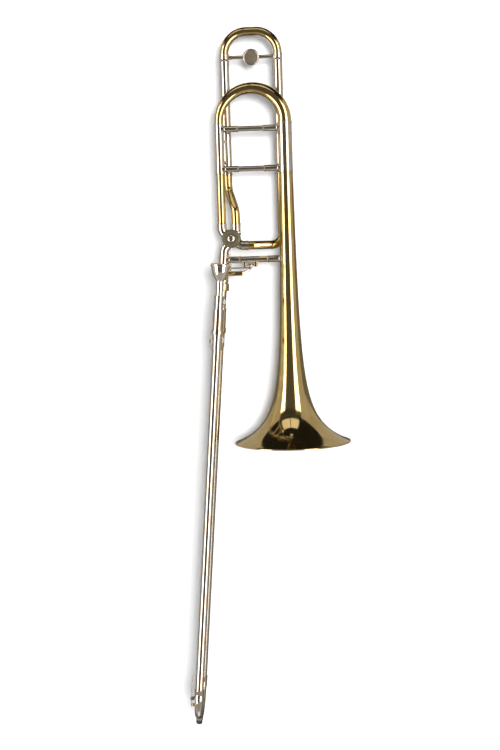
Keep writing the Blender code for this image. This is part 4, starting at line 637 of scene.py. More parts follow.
@dataclass
class OuterSlide:
    """The outer slide: tubes, grip, bow, bumper and water key."""

    tube: float = 0.0077
    bore: float = 0.00735
    top: float = -0.0489
    end: float = -0.747
    sleeve: float = 0.0086
    sleeve_top: float = -0.0856
    sleeve_length: float = 0.026
    grip_drop: float = -0.098
    ferrule: float = 0.0088
    ferrule_top: float = -0.738
    ferrule_bottom: float = -0.758
    bumper: float = 0.0060
    cup_bottom: float = -0.8099
    bumper_height: float = 0.0080
    pivot: Point = (-0.0135, 0.0, -0.7553)
    nipple_z: float = -0.7678
    nipple_y: float = 0.00121

    def build(self) -> None:
        """Builds every piece of the outer slide."""
        body = "outer_slide"
        for node, place in (("upper_outer_tube", FRONT_TUBE), ("lower_outer_tube", SLIDE_FRAME)):
            fit(node, body, Finish.NICKEL, lathe(pipe(self.tube, self.bore, self.top, self.end), place, 72))
        self.build_grip(body)
        self.build_ferrules(body)
        self.build_bow(body)
        self.build_key()

    def build_grip(self, body: str) -> None:
        """Builds the grip with its two sleeves."""
        top, bottom = self.sleeve_top, self.sleeve_top - self.sleeve_length
        outline = [(0.0080, top), (0.0084, top), (0.0086, top - 0.0003), (self.sleeve, bottom + 0.0016)]
        outline += [(self.sleeve + 0.0002, bottom + 0.0013), (self.sleeve + 0.0002, bottom + 0.0004)]
        outline += [(self.sleeve - 0.0002, bottom), (0.0080, bottom)]
        start, end = (0.0, -TUBE_SPACING, self.grip_drop), (0.0, 0.0, self.grip_drop)
        bar = brace(start, end, (self.sleeve, self.sleeve), 0.0045, 0.00515, 0.0100, SLIDE_FRAME)
        fit("slide_grip", body, Finish.NICKEL, lathe(outline, FRONT_TUBE), lathe(outline, SLIDE_FRAME), bar)

    def ferrule_outline(self) -> Outline:
        """Outline of a bow ferrule with its two raised bands."""
        top, bottom, wide, slim = self.ferrule_top, self.ferrule_bottom, self.ferrule, self.ferrule - 0.0003
        outline = [(0.0080, top), (wide - 0.0004, top), (wide, top - 0.0004), (wide, top - 0.0040)]
        outline += [(slim, top - 0.0044), (slim, bottom + 0.0035), (wide, bottom + 0.0031)]
        return outline + [(wide, bottom + 0.0003), (wide - 0.0003, bottom), (0.0080, bottom)]

    def build_ferrules(self, body: str) -> None:
        """Builds both ferrules, the front one with the ears of the water key."""
        x, _, z = self.pivot
        shapes = [lathe(self.ferrule_outline(), FRONT_TUBE)]
        for side in (-1.0, 1.0):
            shapes.append(slab((0.0072, 0.0012, 0.0048), (x + 0.0018, side * 0.0037, z), FRONT_TUBE, 0.0004))
            shapes.append(rod(0.0024, (x, side * 0.0031, z), (x, side * 0.0043, z), FRONT_TUBE, 0.0002))
        fit("front_bow_ferrule", body, Finish.NICKEL, *shapes)
        fit("rear_bow_ferrule", body, Finish.NICKEL, lathe(self.ferrule_outline(), SLIDE_FRAME))
        fit("water_key_pin", body, Finish.STEEL, rod(0.0010, (x, -0.0053, z), (x, 0.0053, z), FRONT_TUBE, 0.0003))

    def build_bow(self, body: str) -> None:
        """Builds the end bow with the bumper's cup and the nipple, and the rubber bumper."""
        half = TUBE_SPACING / 2
        route = [Vector((0.0, -TUBE_SPACING, self.end - 0.0003))]
        for step in range(57):
            angle = math.pi * step / 56
            offset = Vector((0.0, -half * math.cos(angle), self.ferrule_bottom - half * math.sin(angle)))
            route.append(Vector((0.0, -half, 0.0)) + offset)
        route.append(Vector((0.0, 0.0, self.end - 0.0003)))
        bow = sweep(route, self.tube, SLIDE_FRAME)
        middle = SLIDE_FRAME @ Matrix.Translation((0.0, -half, 0.0))
        bow_bottom = self.ferrule_bottom - half - self.tube
        outline = [(0.0, bow_bottom + 0.0070), (0.0068, bow_bottom + 0.0070), (0.0071, bow_bottom + 0.0045)]
        outline += [(0.0069, bow_bottom + 0.0015), (0.0064, self.cup_bottom + 0.0005)]
        outline += [(0.0060, self.cup_bottom), (0.0, self.cup_bottom)]
        cup = lathe(outline, middle)
        nipple = lathe(pipe(0.0030, 0.0018, 0.0104, 0.0060, 0.0003), self.nipple_frame())
        fit("end_bow", body, Finish.NICKEL, bow, cup, nipple)
        seat = self.cup_bottom - 0.0003
        outline = [(0.0, seat), (self.bumper - 0.0008, seat), (self.bumper, seat - 0.0010)]
        outline += [(self.bumper, seat - 0.0044), (self.bumper * 0.95, seat - 0.0059)]
        outline += [(self.bumper * 0.82, seat - 0.0070), (self.bumper * 0.62, seat - 0.0077)]
        outline += [(0.0032, seat - self.bumper_height), (0.0, seat - self.bumper_height)]
        fit("rubber_bumper", body, Finish.RUBBER, lathe(outline, middle))

    def nipple_frame(self) -> Matrix:
        """Frame of the nipple, its Z axis pointing out of the tube."""
        start = Vector((0.0, self.nipple_y, self.nipple_z))
        return FRONT_TUBE @ aimed(start, start + Vector((-1.0, 0.0, 0.0)))

    def build_key(self) -> None:
        """Builds the water key's lever and its cork."""
        x, _, z = self.pivot
        hub = rod(0.0026, (x, -0.0028, z), (x, 0.0028, z), FRONT_TUBE, 0.0003)
        arm = slab((0.0012, 0.0045, 0.0425), (x - 0.0012, 0.0, z + 0.0207), FRONT_TUBE, 0.0004)
        tip = slab((0.0014, 0.0052, 0.0110), (x - 0.0013, 0.0, z + 0.0370), FRONT_TUBE, 0.0006)
        foot = slab((0.0012, 0.0045, 0.0135), (-0.0137, 0.0, z - 0.0062), FRONT_TUBE, 0.0004)
        cup = lathe([(0.0, 0.0143), (0.0028, 0.0143), (0.0036, 0.0138), (0.0036, 0.0131), (0.0, 0.0131)],
                    self.nipple_frame())
        fit("water_key_lever", "water_key", Finish.NICKEL, hub, arm, tip, foot, cup)
        cork = lathe([(0.0, 0.0128), (0.0031, 0.0128), (0.0031, 0.0107), (0.0, 0.0107)], self.nipple_frame())
        fit("water_key_cork", "water_key", Finish.CORK, cork)


@dataclass
class Valve:
    """The rotary valve with its knuckles, caps, stop and the neckpipe."""

    x: float = 0.0201
    z: float = 0.0879
    casing: float = 0.0160
    half: float = 0.0190
    knuckle: float = 0.0082
    knuckle_top: float = 0.116
    feed_x: float = 0.0083
    main_x: float = 0.0025
    bend: float = 0.014
    return_drop: float = 0.0126
    return_reach: float = 0.030
    neckpipe: float = 0.0084
    port_angle: float = math.radians(53)

    def port(self, angle: float, reach: float) -> Vector:
        """A point in the valve's plane at an angle and a reach from its axis."""
        return Vector((self.x + reach * math.cos(angle), 0.0, self.z + reach * math.sin(angle)))

    def place(self, turn: Matrix = FACING_FRONT) -> Matrix:
        """Frame on the valve's axis."""
        return BELL_FRAME @ Matrix.Translation((self.x, 0.0, self.z)) @ turn

    def build(self) -> None:
        """Builds every piece of the valve."""
        self.build_knuckles()
        self.build_casing()
        self.build_stop()
        for node in ("front_bearing_plate", "rear_bearing_plate", "rotor"):
            repaint(node, Finish.BRASS)

    def build_knuckles(self) -> None:
        """Builds the four knuckles with their collars, and the neckpipe."""
        up, left, right = self.port_angle, self.port_angle + math.pi / 2, self.port_angle - math.pi / 2
        neck = Vector((math.sin(SLIDE_TILT), 0.0, math.cos(SLIDE_TILT)))
        corners = {
            "f_feed_knuckle": (up, self.port(up, self.feed_x / math.cos(up))),
            "main_knuckle": (left, self.port(left, (self.main_x - self.x) / math.cos(left))),
            "f_return_knuckle": (right, self.port(right, -self.return_drop / math.sin(right))),
        }
        ray = Vector((math.cos(up + math.pi), 0.0, math.sin(up + math.pi)))
        reach = (neck.x * self.z - neck.z * self.x) / (neck.z * ray.x - neck.x * ray.z)
        corners["neck_knuckle"] = (up + math.pi, self.port(up + math.pi, reach))
        neck_top = corners["neck_knuckle"][1].length - 0.010
        feed, main = corners["f_feed_knuckle"][1], corners["main_knuckle"][1]
        back = corners["f_return_knuckle"][1]
        ends = {
            "f_feed_knuckle": Vector((feed.x, 0.0, self.knuckle_top)),
            "main_knuckle": Vector((main.x, 0.0, self.knuckle_top)),
            "f_return_knuckle": Vector((self.x + self.return_reach, 0.0, back.z)),
            "neck_knuckle": neck * neck_top,
        }
        for node, (angle, corner) in corners.items():
            route = rounded_route([self.port(angle, self.casing * 0.55), corner, ends[node]], [self.bend])
            shapes = [sweep(route, self.knuckle, BELL_FRAME)]
            mouth = BELL_FRAME @ aimed(ends[node], corner)
            shapes.append(lathe(pipe(self.knuckle + 0.0005, self.knuckle - 0.001, 0.0030, 0.0, 0.0004), mouth))
            start = self.port(angle, self.casing - 0.0016)
            collar = BELL_FRAME @ aimed(start, start + (start - self.port(0, 0)))
            shapes.append(lathe(pipe(self.knuckle + 0.0006, self.knuckle - 0.001, 0.0038, 0.0, 0.0005), collar))
            fit(node, "bell_section", Finish.NICKEL, *shapes)
        outline = pipe(self.neckpipe, self.neckpipe - 0.0005, neck_top - 0.0003, 0.0269)
        fit("neckpipe", "bell_section", Finish.NICKEL, lathe(outline, SLIDE_FRAME))

    def build_casing(self) -> None:
        """Builds the casing, the textured cap, the oil cap and the stop plate."""
        body = "bell_section"
        outline = pipe(self.casing, self.casing - 0.0017, self.half, -self.half, 0.0003)
        fit("valve_casing", body, Finish.NICKEL, lathe(outline, self.place(), 96))
        base, face, rim = self.half + 0.0003, self.half + 0.0063, self.casing + 0.0007
        outline = [(0.0076, base), (0.0076, face - 0.0008), (0.0082, face - 0.0001), (0.0120, face + 0.0002)]
        outline += [(rim - 0.0024, face), (rim - 0.0016, face - 0.0002), (rim - 0.0008, face - 0.0006)]
        outline += [(rim - 0.0002, face - 0.0014), (rim, face - 0.0022), (rim, base)]
        fit("valve_cap", body, Finish.ETCHED, lathe(outline[::-1], self.place(), 96))
        outline = [(0.0, face + 0.0022), (0.0022, face + 0.0021), (0.0044, face + 0.0017), (0.0061, face + 0.0009)]
        outline += [(0.0070, face - 0.0002), (0.0073, face - 0.0014), (0.0073, base), (0.0, base)]
        fit("oil_cap", body, Finish.SILVER, lathe(outline, self.place(), 72))
        outline = pipe(self.casing - 0.0004, 0.0033, self.half + 0.0025, self.half + 0.0003, 0.0004)
        fit("stop_plate", body, Finish.NICKEL, lathe(outline, self.place(FACING_BACK), 72))

    def build_stop(self) -> None:
        """Builds the stop arm; the cork stops keep their CAD shape."""
        front, back = 0.0221, 0.0255
        hub = lathe(pipe(0.0054, 0.0033, back, front, 0.0003), self.place(FACING_BACK), 48)
        shapes = [hub]
        for angle, length, width in ((math.radians(225), 0.0085, 0.0046), (math.radians(45), 0.0121, 0.0036)):
            middle = self.port(angle, length / 2 + 0.0017)
            size = (length - 0.0034, back - front, width)
            shapes.append(slab(size, (middle.x, (front + back) / 2, middle.z), BELL_FRAME, 0.0005, -angle))
        pin = self.port(math.radians(225), 0.0085)
        shapes.append(rod(0.0030, (pin.x, front, pin.z), (pin.x, back, pin.z), BELL_FRAME))
        fit("stop_arm", "rotor", Finish.NICKEL, *shapes)
        for node in ("upper_stop_bumper", "lower_stop_bumper"):
            repaint(node, Finish.CORK)


@dataclass
class MainTuning:
    """The main leg tube, the tuning receivers and the main tuning slide."""

    left_x: float = 0.0025
    right_x: float = 0.1225
    leg: float = 0.0075
    left: float = 0.0081
    right: float = 0.0131
    wall: float = 0.0005
    base: float = 0.206
    top: float = 0.275
    crook_base: float = 0.2983
    brace_z: float = 0.215
    slide_brace_z: float = 0.2875

    def column(self, x: float) -> Matrix:
        """Frame on a leg's axis."""
        return BELL_FRAME @ Matrix.Translation((x, 0.0, 0.0))

    def build(self) -> None:
        """Builds the fixed and the moving tubes."""
        outline = pipe(self.leg, self.leg - self.wall, self.base - 0.0003, 0.1163)
        fit("main_leg_tube", "bell_section", Finish.LACQUER, lathe(outline, self.column(self.left_x), 72))
        shapes = []
        for x, radius in ((self.left_x, self.left), (self.right_x, self.right)):
            outline = [(radius - self.wall, self.top), (radius, self.top - 0.0001), (radius, self.base + 0.0024)]
            outline += [(radius + 0.0004, self.base + 0.0020), (radius + 0.0004, self.base + 0.0003)]
            outline += [(radius, self.base), (radius - self.wall, self.base)]
            shapes.append(lathe(outline, self.column(x), 72))
        shapes.append(self.cross(self.brace_z))
        fit("tuning_receivers", "bell_section", Finish.NICKEL, *shapes)
        self.build_slide()

    def cross(self, height: float) -> bmesh.types.BMesh:
        """The brace between the two legs at a height."""
        start, end = (self.left_x, 0.0, height), (self.right_x, 0.0, height)
        return brace(start, end, (self.left, self.right), 0.0047, 0.0057, 0.0250, BELL_FRAME)

    def build_slide(self) -> None:
        """Builds the legs with their ferrules and brace, and the crook."""
        shapes = []
        for x, radius in ((self.left_x, self.left), (self.right_x, self.right)):
            foot, head = self.top + 0.0003, self.crook_base
            wide, leg = radius + 0.0004, radius - self.wall - 0.0003
            outline = [(leg - 0.0004, 0.217), (leg, 0.217), (leg, foot), (wide, foot), (wide, foot + 0.0018)]
            outline += [(radius, foot + 0.0023), (radius, head - 0.0034), (wide, head - 0.0030)]
            outline += [(wide, head - 0.0008), (wide - 0.0003, head), (leg - 0.0004, head)]
            shapes.append(lathe(outline[::-1], self.column(x), 72))
        fit("tuning_legs", "main_tuning_slide", Finish.NICKEL, *shapes, self.cross(self.slide_brace_z))
        foot = self.crook_base - 0.0037
        middle = ((self.left_x + self.right_x) / 2, 0.0, self.crook_base + 0.002)
        route = [Vector((self.left_x, 0.0, foot)), *half_ring(middle, 0.060, 64), Vector((self.right_x, 0.0, foot))]
        fit("main_crook", "main_tuning_slide", Finish.LACQUER, sweep(route, 0.0076, BELL_FRAME, 0.0124, 22))


@dataclass
class Bell:
    """The bell with its rim wire."""

    x: float = 0.1225
    lip: float = -0.2913
    rim: float = 0.1079
    stem: float = 0.0115
    taper: float = 0.006
    flare_depth: float = 0.0775
    power: float = 2.1
    length: float = 0.497
    wall: float = 0.0006
    wire: float = 0.0012
    rings: int = 72

    def radius(self, distance: float) -> float:
        """Outer radius at a distance from the lip."""
        flare = (self.flare_depth / (distance + self.flare_depth)) ** self.power
        stem = self.stem + self.taper * (self.length - distance)
        return stem + (self.rim - stem) * flare

    def build(self) -> None:
        """Builds the bell and the wire."""
        limit = self.rim - 2 * self.wire - 0.0003
        outer, inner = [], []
        for ring in range(self.rings + 1):
            distance = (self.length - 0.0003) * (ring / self.rings) ** 2
            radius = min(self.radius(distance), limit)
            slope = (self.radius(distance) - self.radius(distance + 0.0005)) / 0.0005
            lean = math.hypot(1.0, slope)
            outer.append((radius, self.lip + distance))
            inner.append((radius - self.wall / lean, self.lip + distance - self.wall * slope / lean))
        inner[-1] = (outer[-1][0] - self.wall, outer[-1][1])
        place = BELL_FRAME @ Matrix.Translation((self.x, 0.0, 0.0))
        fit("bell", "bell_section", Finish.LACQUER, lathe(outer[::-1] + inner, place, 144))
        rim = place @ Matrix.Translation((0.0, 0.0, self.lip))
        wire = wire_ring(self.rim - 2 * self.wire, self.wire, rim, 144)
        fit("bell_rim_wire", "bell_section", Finish.LACQUER, wire)


@dataclass
class FAttachment:
    """The F tubing behind the main tubing, its slide, brace and medallion."""

    left_x: float = 0.0148
    right_x: float = 0.1128
    y: float = 0.025
    tube: float = 0.0077
    receiver: float = 0.0083
    wall: float = 0.0005
    base: float = 0.206
    top: float = 0.411
    crook_base: float = 0.4258
    corner: float = 0.040
    brace_z: float = 0.4195
    medallion: float = 0.0148
    stay_heights: tuple[float, float] = (0.228, 0.266)
    return_z: float = 0.0753

    def column(self, x: float) -> Matrix:
        """Frame on an F leg's axis."""
        return BELL_FRAME @ Matrix.Translation((x, self.y, 0.0))

    def build(self) -> None:
        """Builds the whole attachment."""
        self.build_receivers()
        self.build_tubes()
        self.build_slide()

    def build_receivers(self) -> None:
        """Builds the two receivers with the stays that hold them."""
        for node, x, main_x in (("left_f_receiver", self.left_x, 0.0025), ("right_f_receiver", self.right_x, 0.1225)):
            radius = self.receiver
            outline = [(radius - self.wall, self.top), (radius, self.top), (radius, self.base + 0.0022)]
            outline += [(radius + 0.0004, self.base + 0.0018), (radius + 0.0004, self.base + 0.0003)]
            outline += [(radius, self.base), (radius - self.wall, self.base)]
            shapes = [lathe(outline, self.column(x), 64)]
            main = 0.0083 if x < 0.05 else 0.0133
            for height in self.stay_heights:
                start, end = Vector((main_x, 0.0, height)), Vector((x, self.y, height))
                edge = start + (end - start).normalized() * main
                shapes.append(rod(0.0030, tuple(edge), tuple(end), BELL_FRAME))
            fit(node, "bell_section", Finish.NICKEL, *shapes)

    def build_tubes(self) -> None:
        """Builds the feed and the return tube."""
        end = self.base - 0.0003
        corners = [(0.0284, 0.0, 0.1163), (0.0284, 0.0, 0.139), (self.left_x, self.y, 0.180), (self.left_x, self.y, end)]
        feed = sweep(rounded_route(corners, [0.034, 0.034]), self.tube, BELL_FRAME)
        fit("f_feed_tube", "bell_section", Finish.LACQUER, feed)
        low = self.return_z
        corners = [(0.0504, 0.0, low), (0.0604, 0.0, low), (self.right_x, self.y, low)]
        corners.append((self.right_x, self.y, end))
        back = sweep(rounded_route(corners, [0.040, 0.022]), self.tube, BELL_FRAME)
        fit("f_return_tube", "bell_section", Finish.LACQUER, back)

    def build_slide(self) -> None:
        """Builds the F slide's legs, brace, crook and medallion."""
        body, shapes = "f_tuning_slide", []
        for x in (self.left_x, self.right_x):
            foot, head, leg = self.top + 0.0003, self.crook_base, self.receiver - self.wall - 0.0003
            wide = self.receiver + 0.0003
            outline = [(leg - 0.0004, 0.291), (leg, 0.291), (leg, foot), (wide, foot), (wide, foot + 0.0015)]
            outline += [(self.receiver, foot + 0.0019), (self.receiver, head - 0.0022), (wide, head - 0.0018)]
            outline += [(wide, head - 0.0004), (wide - 0.0003, head), (leg - 0.0004, head)]
            shapes.append(lathe(outline[::-1], self.column(x), 64))
        middle_x = (self.left_x + self.right_x) / 2
        for x, side in ((self.left_x, 1.0), (self.right_x, -1.0)):
            end = (middle_x - side * (self.medallion - 0.0002), self.y, self.brace_z)
            start = (x + side * self.receiver * 0.8, self.y, self.brace_z)
            shapes.append(rod(0.0031, start, end, BELL_FRAME))
            edge = x + side * (self.receiver + 0.0002)
            shapes.append(rod(0.0036, (edge - side * 0.002, self.y, self.brace_z),
                              (edge + side * 0.0055, self.y, self.brace_z), BELL_FRAME))
        plate = BELL_FRAME @ Matrix.Translation((middle_x, self.y + 0.0031, self.brace_z)) @ FACING_FRONT
        shapes.append(lathe([(0.0, 0.0007), (0.0118, 0.0007), (0.0118, -0.0007), (0.0, -0.0007)], plate))
        fit("f_slide_legs", body, Finish.NICKEL, *shapes)
        foot, top = self.crook_base - 0.0047, self.crook_base + self.corner
        corners = [(self.left_x, self.y, foot), (self.left_x, self.y, top), (self.right_x, self.y, top)]
        corners.append((self.right_x, self.y, foot))
        crook = sweep(rounded_route(corners, [self.corner, self.corner], 32), self.tube, BELL_FRAME, 0.0, 18)
        fit("f_crook", body, Finish.LACQUER, crook)
        self.build_medallion(body, middle_x)

    def build_medallion(self, body: str, middle_x: float) -> None:
        """Builds the medallion: a round rim about a bare, slightly domed field.

        Args:
            body: The body that it rides on.
            middle_x: X of its middle.
        """
        half, rim, bead = 0.0021, self.medallion, 0.0014
        outline = [(0.0, half - 0.0004), (0.0060, half - 0.0006), (rim - 2 * bead, half - 0.0011)]
        for step in range(9):
            angle = math.pi * (1 - step / 8)
            outline.append((rim - bead + bead * math.cos(angle), half - bead + bead * math.sin(angle)))
        outline += [(rim, 0.0005 - half), (rim - 0.0005, -half), (0.0, -half)]
        place = BELL_FRAME @ Matrix.Translation((middle_x, self.y, self.brace_z)) @ FACING_FRONT
        piece = fit("medallion", body, Finish.NICKEL, lathe(outline, place, 96))
        piece.data.materials.append(PALETTE.material(Finish.FIELD))
        for face in piece.data.polygons:
            reach = (face.center - place.translation).length
            if face.normal.y < -0.5 and reach < rim - 2 * bead:
                face.material_index = 1


@dataclass
class ThumbLever:
    """The bell brace with the thumb lever, its paddle and the link rod."""

    brace_z: float = 0.0495
    pivot_z: float = 0.0398
    left_post: float = 0.0420
    right_post: float = 0.0622
    post_width: float = 0.0046
    post_depth: float = 0.0070
    arm: float = 0.028
    swing: float = math.radians(24.75)
    crank_x: float = 0.01409
    crank_z: float = 0.08189
    ball: float = 0.0022
    paddle_y: float = -0.020
    paddle_drop: float = 0.0155

    def build(self) -> None:
        """Builds the brace, the posts and the lever work."""
        start, end = (self.brace_z * math.tan(SLIDE_TILT), 0.0, self.brace_z), (0.1225, 0.0, self.brace_z)
        bar = brace(start, end, (0.0084, 0.0146), 0.0056, 0.0061, 0.0220, BELL_FRAME)
        fit("bell_brace", "bell_section", Finish.NICKEL, bar)
        bottom = self.pivot_z - 0.0042
        top = self.brace_z - 0.0034
        for node, x in (("left_lever_post", self.left_post), ("right_lever_post", self.right_post)):
            size = (self.post_width, self.post_depth, top - bottom)
            post = slab(size, (x, 0.0, (top + bottom) / 2), BELL_FRAME, 0.0007)
            fit(node, "bell_section", Finish.LACQUER, post)
        repaint("lever_screw", Finish.STEEL)
        repaint("lever_spring", Finish.STEEL)
        self.build_lever()
        self.build_link()

    def build_lever(self) -> None:
        """Builds the lever with its barrel, arms and ball, and the paddle."""
        left, right = self.left_post + 0.0062, self.right_post - 0.0026
        middle = (left + right) / 2
        ball_y, ball_z = self.arm * math.cos(self.swing / 2), self.pivot_z - self.arm * math.sin(self.swing / 2)
        barrel = lathe(pipe(0.0029, 0.0016, right - left, 0.0, 0.0003),
                       BELL_FRAME @ aimed(Vector((left, 0.0, self.pivot_z)), Vector((right, 0.0, self.pivot_z))))
        corners = [(middle, 0.0020, self.pivot_z), (middle, ball_y, ball_z), (self.crank_x, ball_y, ball_z)]
        rear = sweep(rounded_route(corners, [0.007]), 0.0015, BELL_FRAME)
        knob = bead(self.ball, (self.crank_x, ball_y, ball_z), BELL_FRAME)
        paddle_z, paddle_right = self.pivot_z - self.paddle_drop, self.left_post - 0.0025
        arm_end = (paddle_right - 0.002, self.paddle_y + 0.0041, paddle_z)
        bend = (middle - 0.002, self.paddle_y * 0.62, self.pivot_z - self.paddle_drop * 0.55)
        corners = [(middle, -0.0018, self.pivot_z - 0.0006), bend, arm_end]
        front = sweep(rounded_route(corners, [0.009]), 0.0021, BELL_FRAME)
        pad = slab((0.008, 0.0016, 0.0062), (paddle_right - 0.004, self.paddle_y + 0.0026, paddle_z), BELL_FRAME, 0.0005)
        fit("thumb_lever", "thumb_lever", Finish.SILVER, barrel, rear, knob, front, pad)
        paddle = rod(0.0044, (0.0, 0.0, 0.0), (0.031, 0.0, 0.0), Matrix.Identity(4), 0.0008)
        bmesh.ops.scale(paddle, vec=(1.0, 0.36, 1.0), verts=paddle.verts)
        paddle.transform(BELL_FRAME @ Matrix.Translation((paddle_right - 0.031, self.paddle_y, paddle_z)))
        fit("thumb_paddle", "thumb_lever", Finish.LACQUER, paddle)

    def build_link(self) -> None:
        """Builds the link rod with an eye at each end."""
        sway = self.arm * (1 - math.cos(self.swing / 2)) / 2
        y = self.arm * math.cos(self.swing / 2) + sway
        low = self.pivot_z - self.arm * math.sin(self.swing / 2)
        hole = self.ball + 0.0003 + sway
        shaft = rod(0.0012, (self.crank_x, y, low + hole + 0.0010), (self.crank_x, y, self.crank_z - 0.0024), BELL_FRAME)
        nut = rod(0.0021, (self.crank_x, y, low + hole + 0.0016), (self.crank_x, y, low + hole + 0.0056), BELL_FRAME)
        low_place = BELL_FRAME @ Matrix.Translation((self.crank_x, y, low)) @ FACING_RIGHT
        high_place = BELL_FRAME @ Matrix.Translation((self.crank_x, y, self.crank_z)) @ FACING_FRONT
        low_eye = wire_ring(hole, 0.0010, low_place)
        high_eye = wire_ring(0.0012, 0.0010, high_place)
        fit("link_rod", "link_rod", Finish.NICKEL, shaft, nut, low_eye, high_eye)


@dataclass(frozen=True)
class Card:
    """A curved studio card, made for both sides.

    Args:
        name: Its name.
        bearings: Where it starts and ends in degrees, 0 towards the camera and 90 to the side.
        heights: Its lowest and highest elevation in degrees.
        level: How bright it stands in the metal, 1 for white.
        reach: Its distance from the origin.
    """

    name: str
    bearings: tuple[float, float]
    heights: tuple[float, float]
    level: float
    reach: float = 3.4


@dataclass
class Studio:
    """The pale room, its lights and the camera at the photograph's angle."""

    wall_y: float = 0.156
    floor_z: float = -2.6
    room: float = 6.0
    dome_turn: float = math.radians(-8)
    cards: tuple[Card, ...] = (
        Card("front_card", (0.0, 33.0), (-36.0, 32.0), 0.11),
        Card("strip", (33.0, 60.0), (-36.0, 32.0), 5.4),
        Card("front_shade", (0.0, 60.0), (32.0, 42.0), 0.05),
        Card("low_card", (0.0, 60.0), (-75.0, -36.0), 0.42),
        Card("side_card", (60.0, 104.0), (-75.0, 42.0), 0.54),
        Card("rear_low_card", (104.0, 163.0), (-75.0, 8.0), 0.20),
        Card("rear_high_card", (104.0, 180.0), (8.0, 42.0), 0.50),
        Card("back_low_card", (163.0, 180.0), (-75.0, 3.0), 0.08),
        Card("back_middle_card", (163.0, 180.0), (3.0, 8.0), 0.50),
        Card("ceiling_card", (0.0, 180.0), (42.0, 88.0), 0.015),
        Card("window_card", (2.0, 50.0), (48.0, 70.0), 1.05, 3.3),
    )
    focal: float = 60.1
    azimuth: float = math.radians(2.5)
    drop: float = math.radians(5.07)
    roll: float = math.radians(1.7)
    camera_offset: Point = (0.1470, -2.3162, 0.0411)

    def build(self) -> None:
        """Builds the room, the cards, the lights and the camera."""
        self.light_world()
        self.build_room()
        self.build_cards()
        self.build_lights()
        self.build_camera()

    def light_world(self) -> None:
        """Lights the world, white where it is seen or mirrored."""
        world = bpy.data.worlds.new("studio")
        bpy.context.scene.world = world
        world.use_nodes = True
        tree = world.node_tree
        ground = tree.nodes["Background"]
        ground.inputs["Color"].default_value = (1.0, 1.0, 1.0, 1.0)
        ground.inputs["Strength"].default_value = 0.13
        white = tree.nodes.new("ShaderNodeBackground")
        white.inputs["Color"].default_value = (1.0, 1.0, 1.0, 1.0)
        white.inputs["Strength"].default_value = 1.0
        mix = tree.nodes.new("ShaderNodeMixShader")
        tree.links.new(self.seen(tree), mix.inputs["Fac"])
        tree.links.new(ground.outputs["Background"], mix.inputs[1])
        tree.links.new(white.outputs["Background"], mix.inputs[2])
        tree.links.new(mix.outputs["Shader"], tree.nodes["World Output"].inputs["Surface"])

    def seen(self, tree: bpy.types.NodeTree) -> bpy.types.NodeSocket:
        """1 for rays from the camera, and for mirrored and transmitted rays.

        Args:
            tree: The node tree that it is built in.

        Returns:
            The socket that holds it.
        """
        path = tree.nodes.new("ShaderNodeLightPath")
        total = path.outputs["Is Camera Ray"]
        for name in ("Is Glossy Ray", "Is Transmission Ray"):
            node = tree.nodes.new("ShaderNodeMath")
            node.operation = "MAXIMUM"
            tree.links.new(total, node.inputs[0])
            tree.links.new(path.outputs[name], node.inputs[1])
            total = node.outputs["Value"]
        return total

    def backdrop_material(self, name: str, glow_share: float) -> bpy.types.Material:
        """White paper that keeps a soft shadow and is open from behind.

        Args:
            name: The material's name.
            glow_share: Share of its white that needs no light.

        Returns:
            The material.
        """
        material = bpy.data.materials.new(name)
        material.use_nodes = True
        tree = material.node_tree
        tree.nodes.remove(tree.nodes["Principled BSDF"])
        paper = tree.nodes.new("ShaderNodeBsdfDiffuse")
        paper.inputs["Color"].default_value = (0.90, 0.90, 0.90, 1.0)
        glow = tree.nodes.new("ShaderNodeEmission")
        glow.inputs["Strength"].default_value = 1.0
        mix = tree.nodes.new("ShaderNodeMixShader")
        share = tree.nodes.new("ShaderNodeMath")
        share.operation = "MULTIPLY"
        share.inputs[1].default_value = glow_share
        tree.links.new(self.seen(tree), share.inputs[0])
        tree.links.new(share.outputs["Value"], mix.inputs["Fac"])
        tree.links.new(paper.outputs["BSDF"], mix.inputs[1])
        tree.links.new(glow.outputs["Emission"], mix.inputs[2])
        clear = tree.nodes.new("ShaderNodeBsdfTransparent")
        side = tree.nodes.new("ShaderNodeNewGeometry")
        show = tree.nodes.new("ShaderNodeMixShader")
        tree.links.new(side.outputs["Backfacing"], show.inputs["Fac"])
        tree.links.new(mix.outputs["Shader"], show.inputs[1])
        tree.links.new(clear.outputs["BSDF"], show.inputs[2])
        tree.links.new(show.outputs["Shader"], tree.nodes["Material Output"].inputs["Surface"])
        return material

    def sheet(self, name: str, place: Matrix, material: bpy.types.Material) -> bpy.types.Object:
        """A square sheet of the room."""
        shape = bmesh.new()
        bmesh.ops.create_grid(shape, x_segments=1, y_segments=1, size=self.room / 2)
        shape.transform(place)
        sheet = self.staged(name, shape, material)
        sheet.visible_glossy = False
        return sheet

    def build_room(self) -> None:
        """Builds the floor and the wall behind the instrument."""
        wall = Matrix.Translation((0.0, self.wall_y, 0.0)) @ FACING_FRONT
        self.sheet("pale_wall", wall, self.backdrop_material("wall_paper", 0.08))
        floor = Matrix.Translation((0.0, self.wall_y - self.room / 2, self.floor_z))
        self.sheet("pale_floor", floor, self.backdrop_material("floor_paper", 0.80))

    def card_material(self, name: str, level: float) -> bpy.types.Material:
        """Cloth of a studio card.

        Args:
            name: The material's name.
            level: How bright the card stands in the metal, 1 for white.

        Returns:
            The material.
        """
        material = bpy.data.materials.new(name)
        material.use_nodes = True
        tree = material.node_tree
        tree.nodes.remove(tree.nodes["Principled BSDF"])
        glow = tree.nodes.new("ShaderNodeEmission")
        glow.inputs["Color"].default_value = (level, level * 0.92, level * 0.82, 1.0)
        tree.links.new(glow.outputs["Emission"], tree.nodes["Material Output"].inputs["Surface"])
        return material

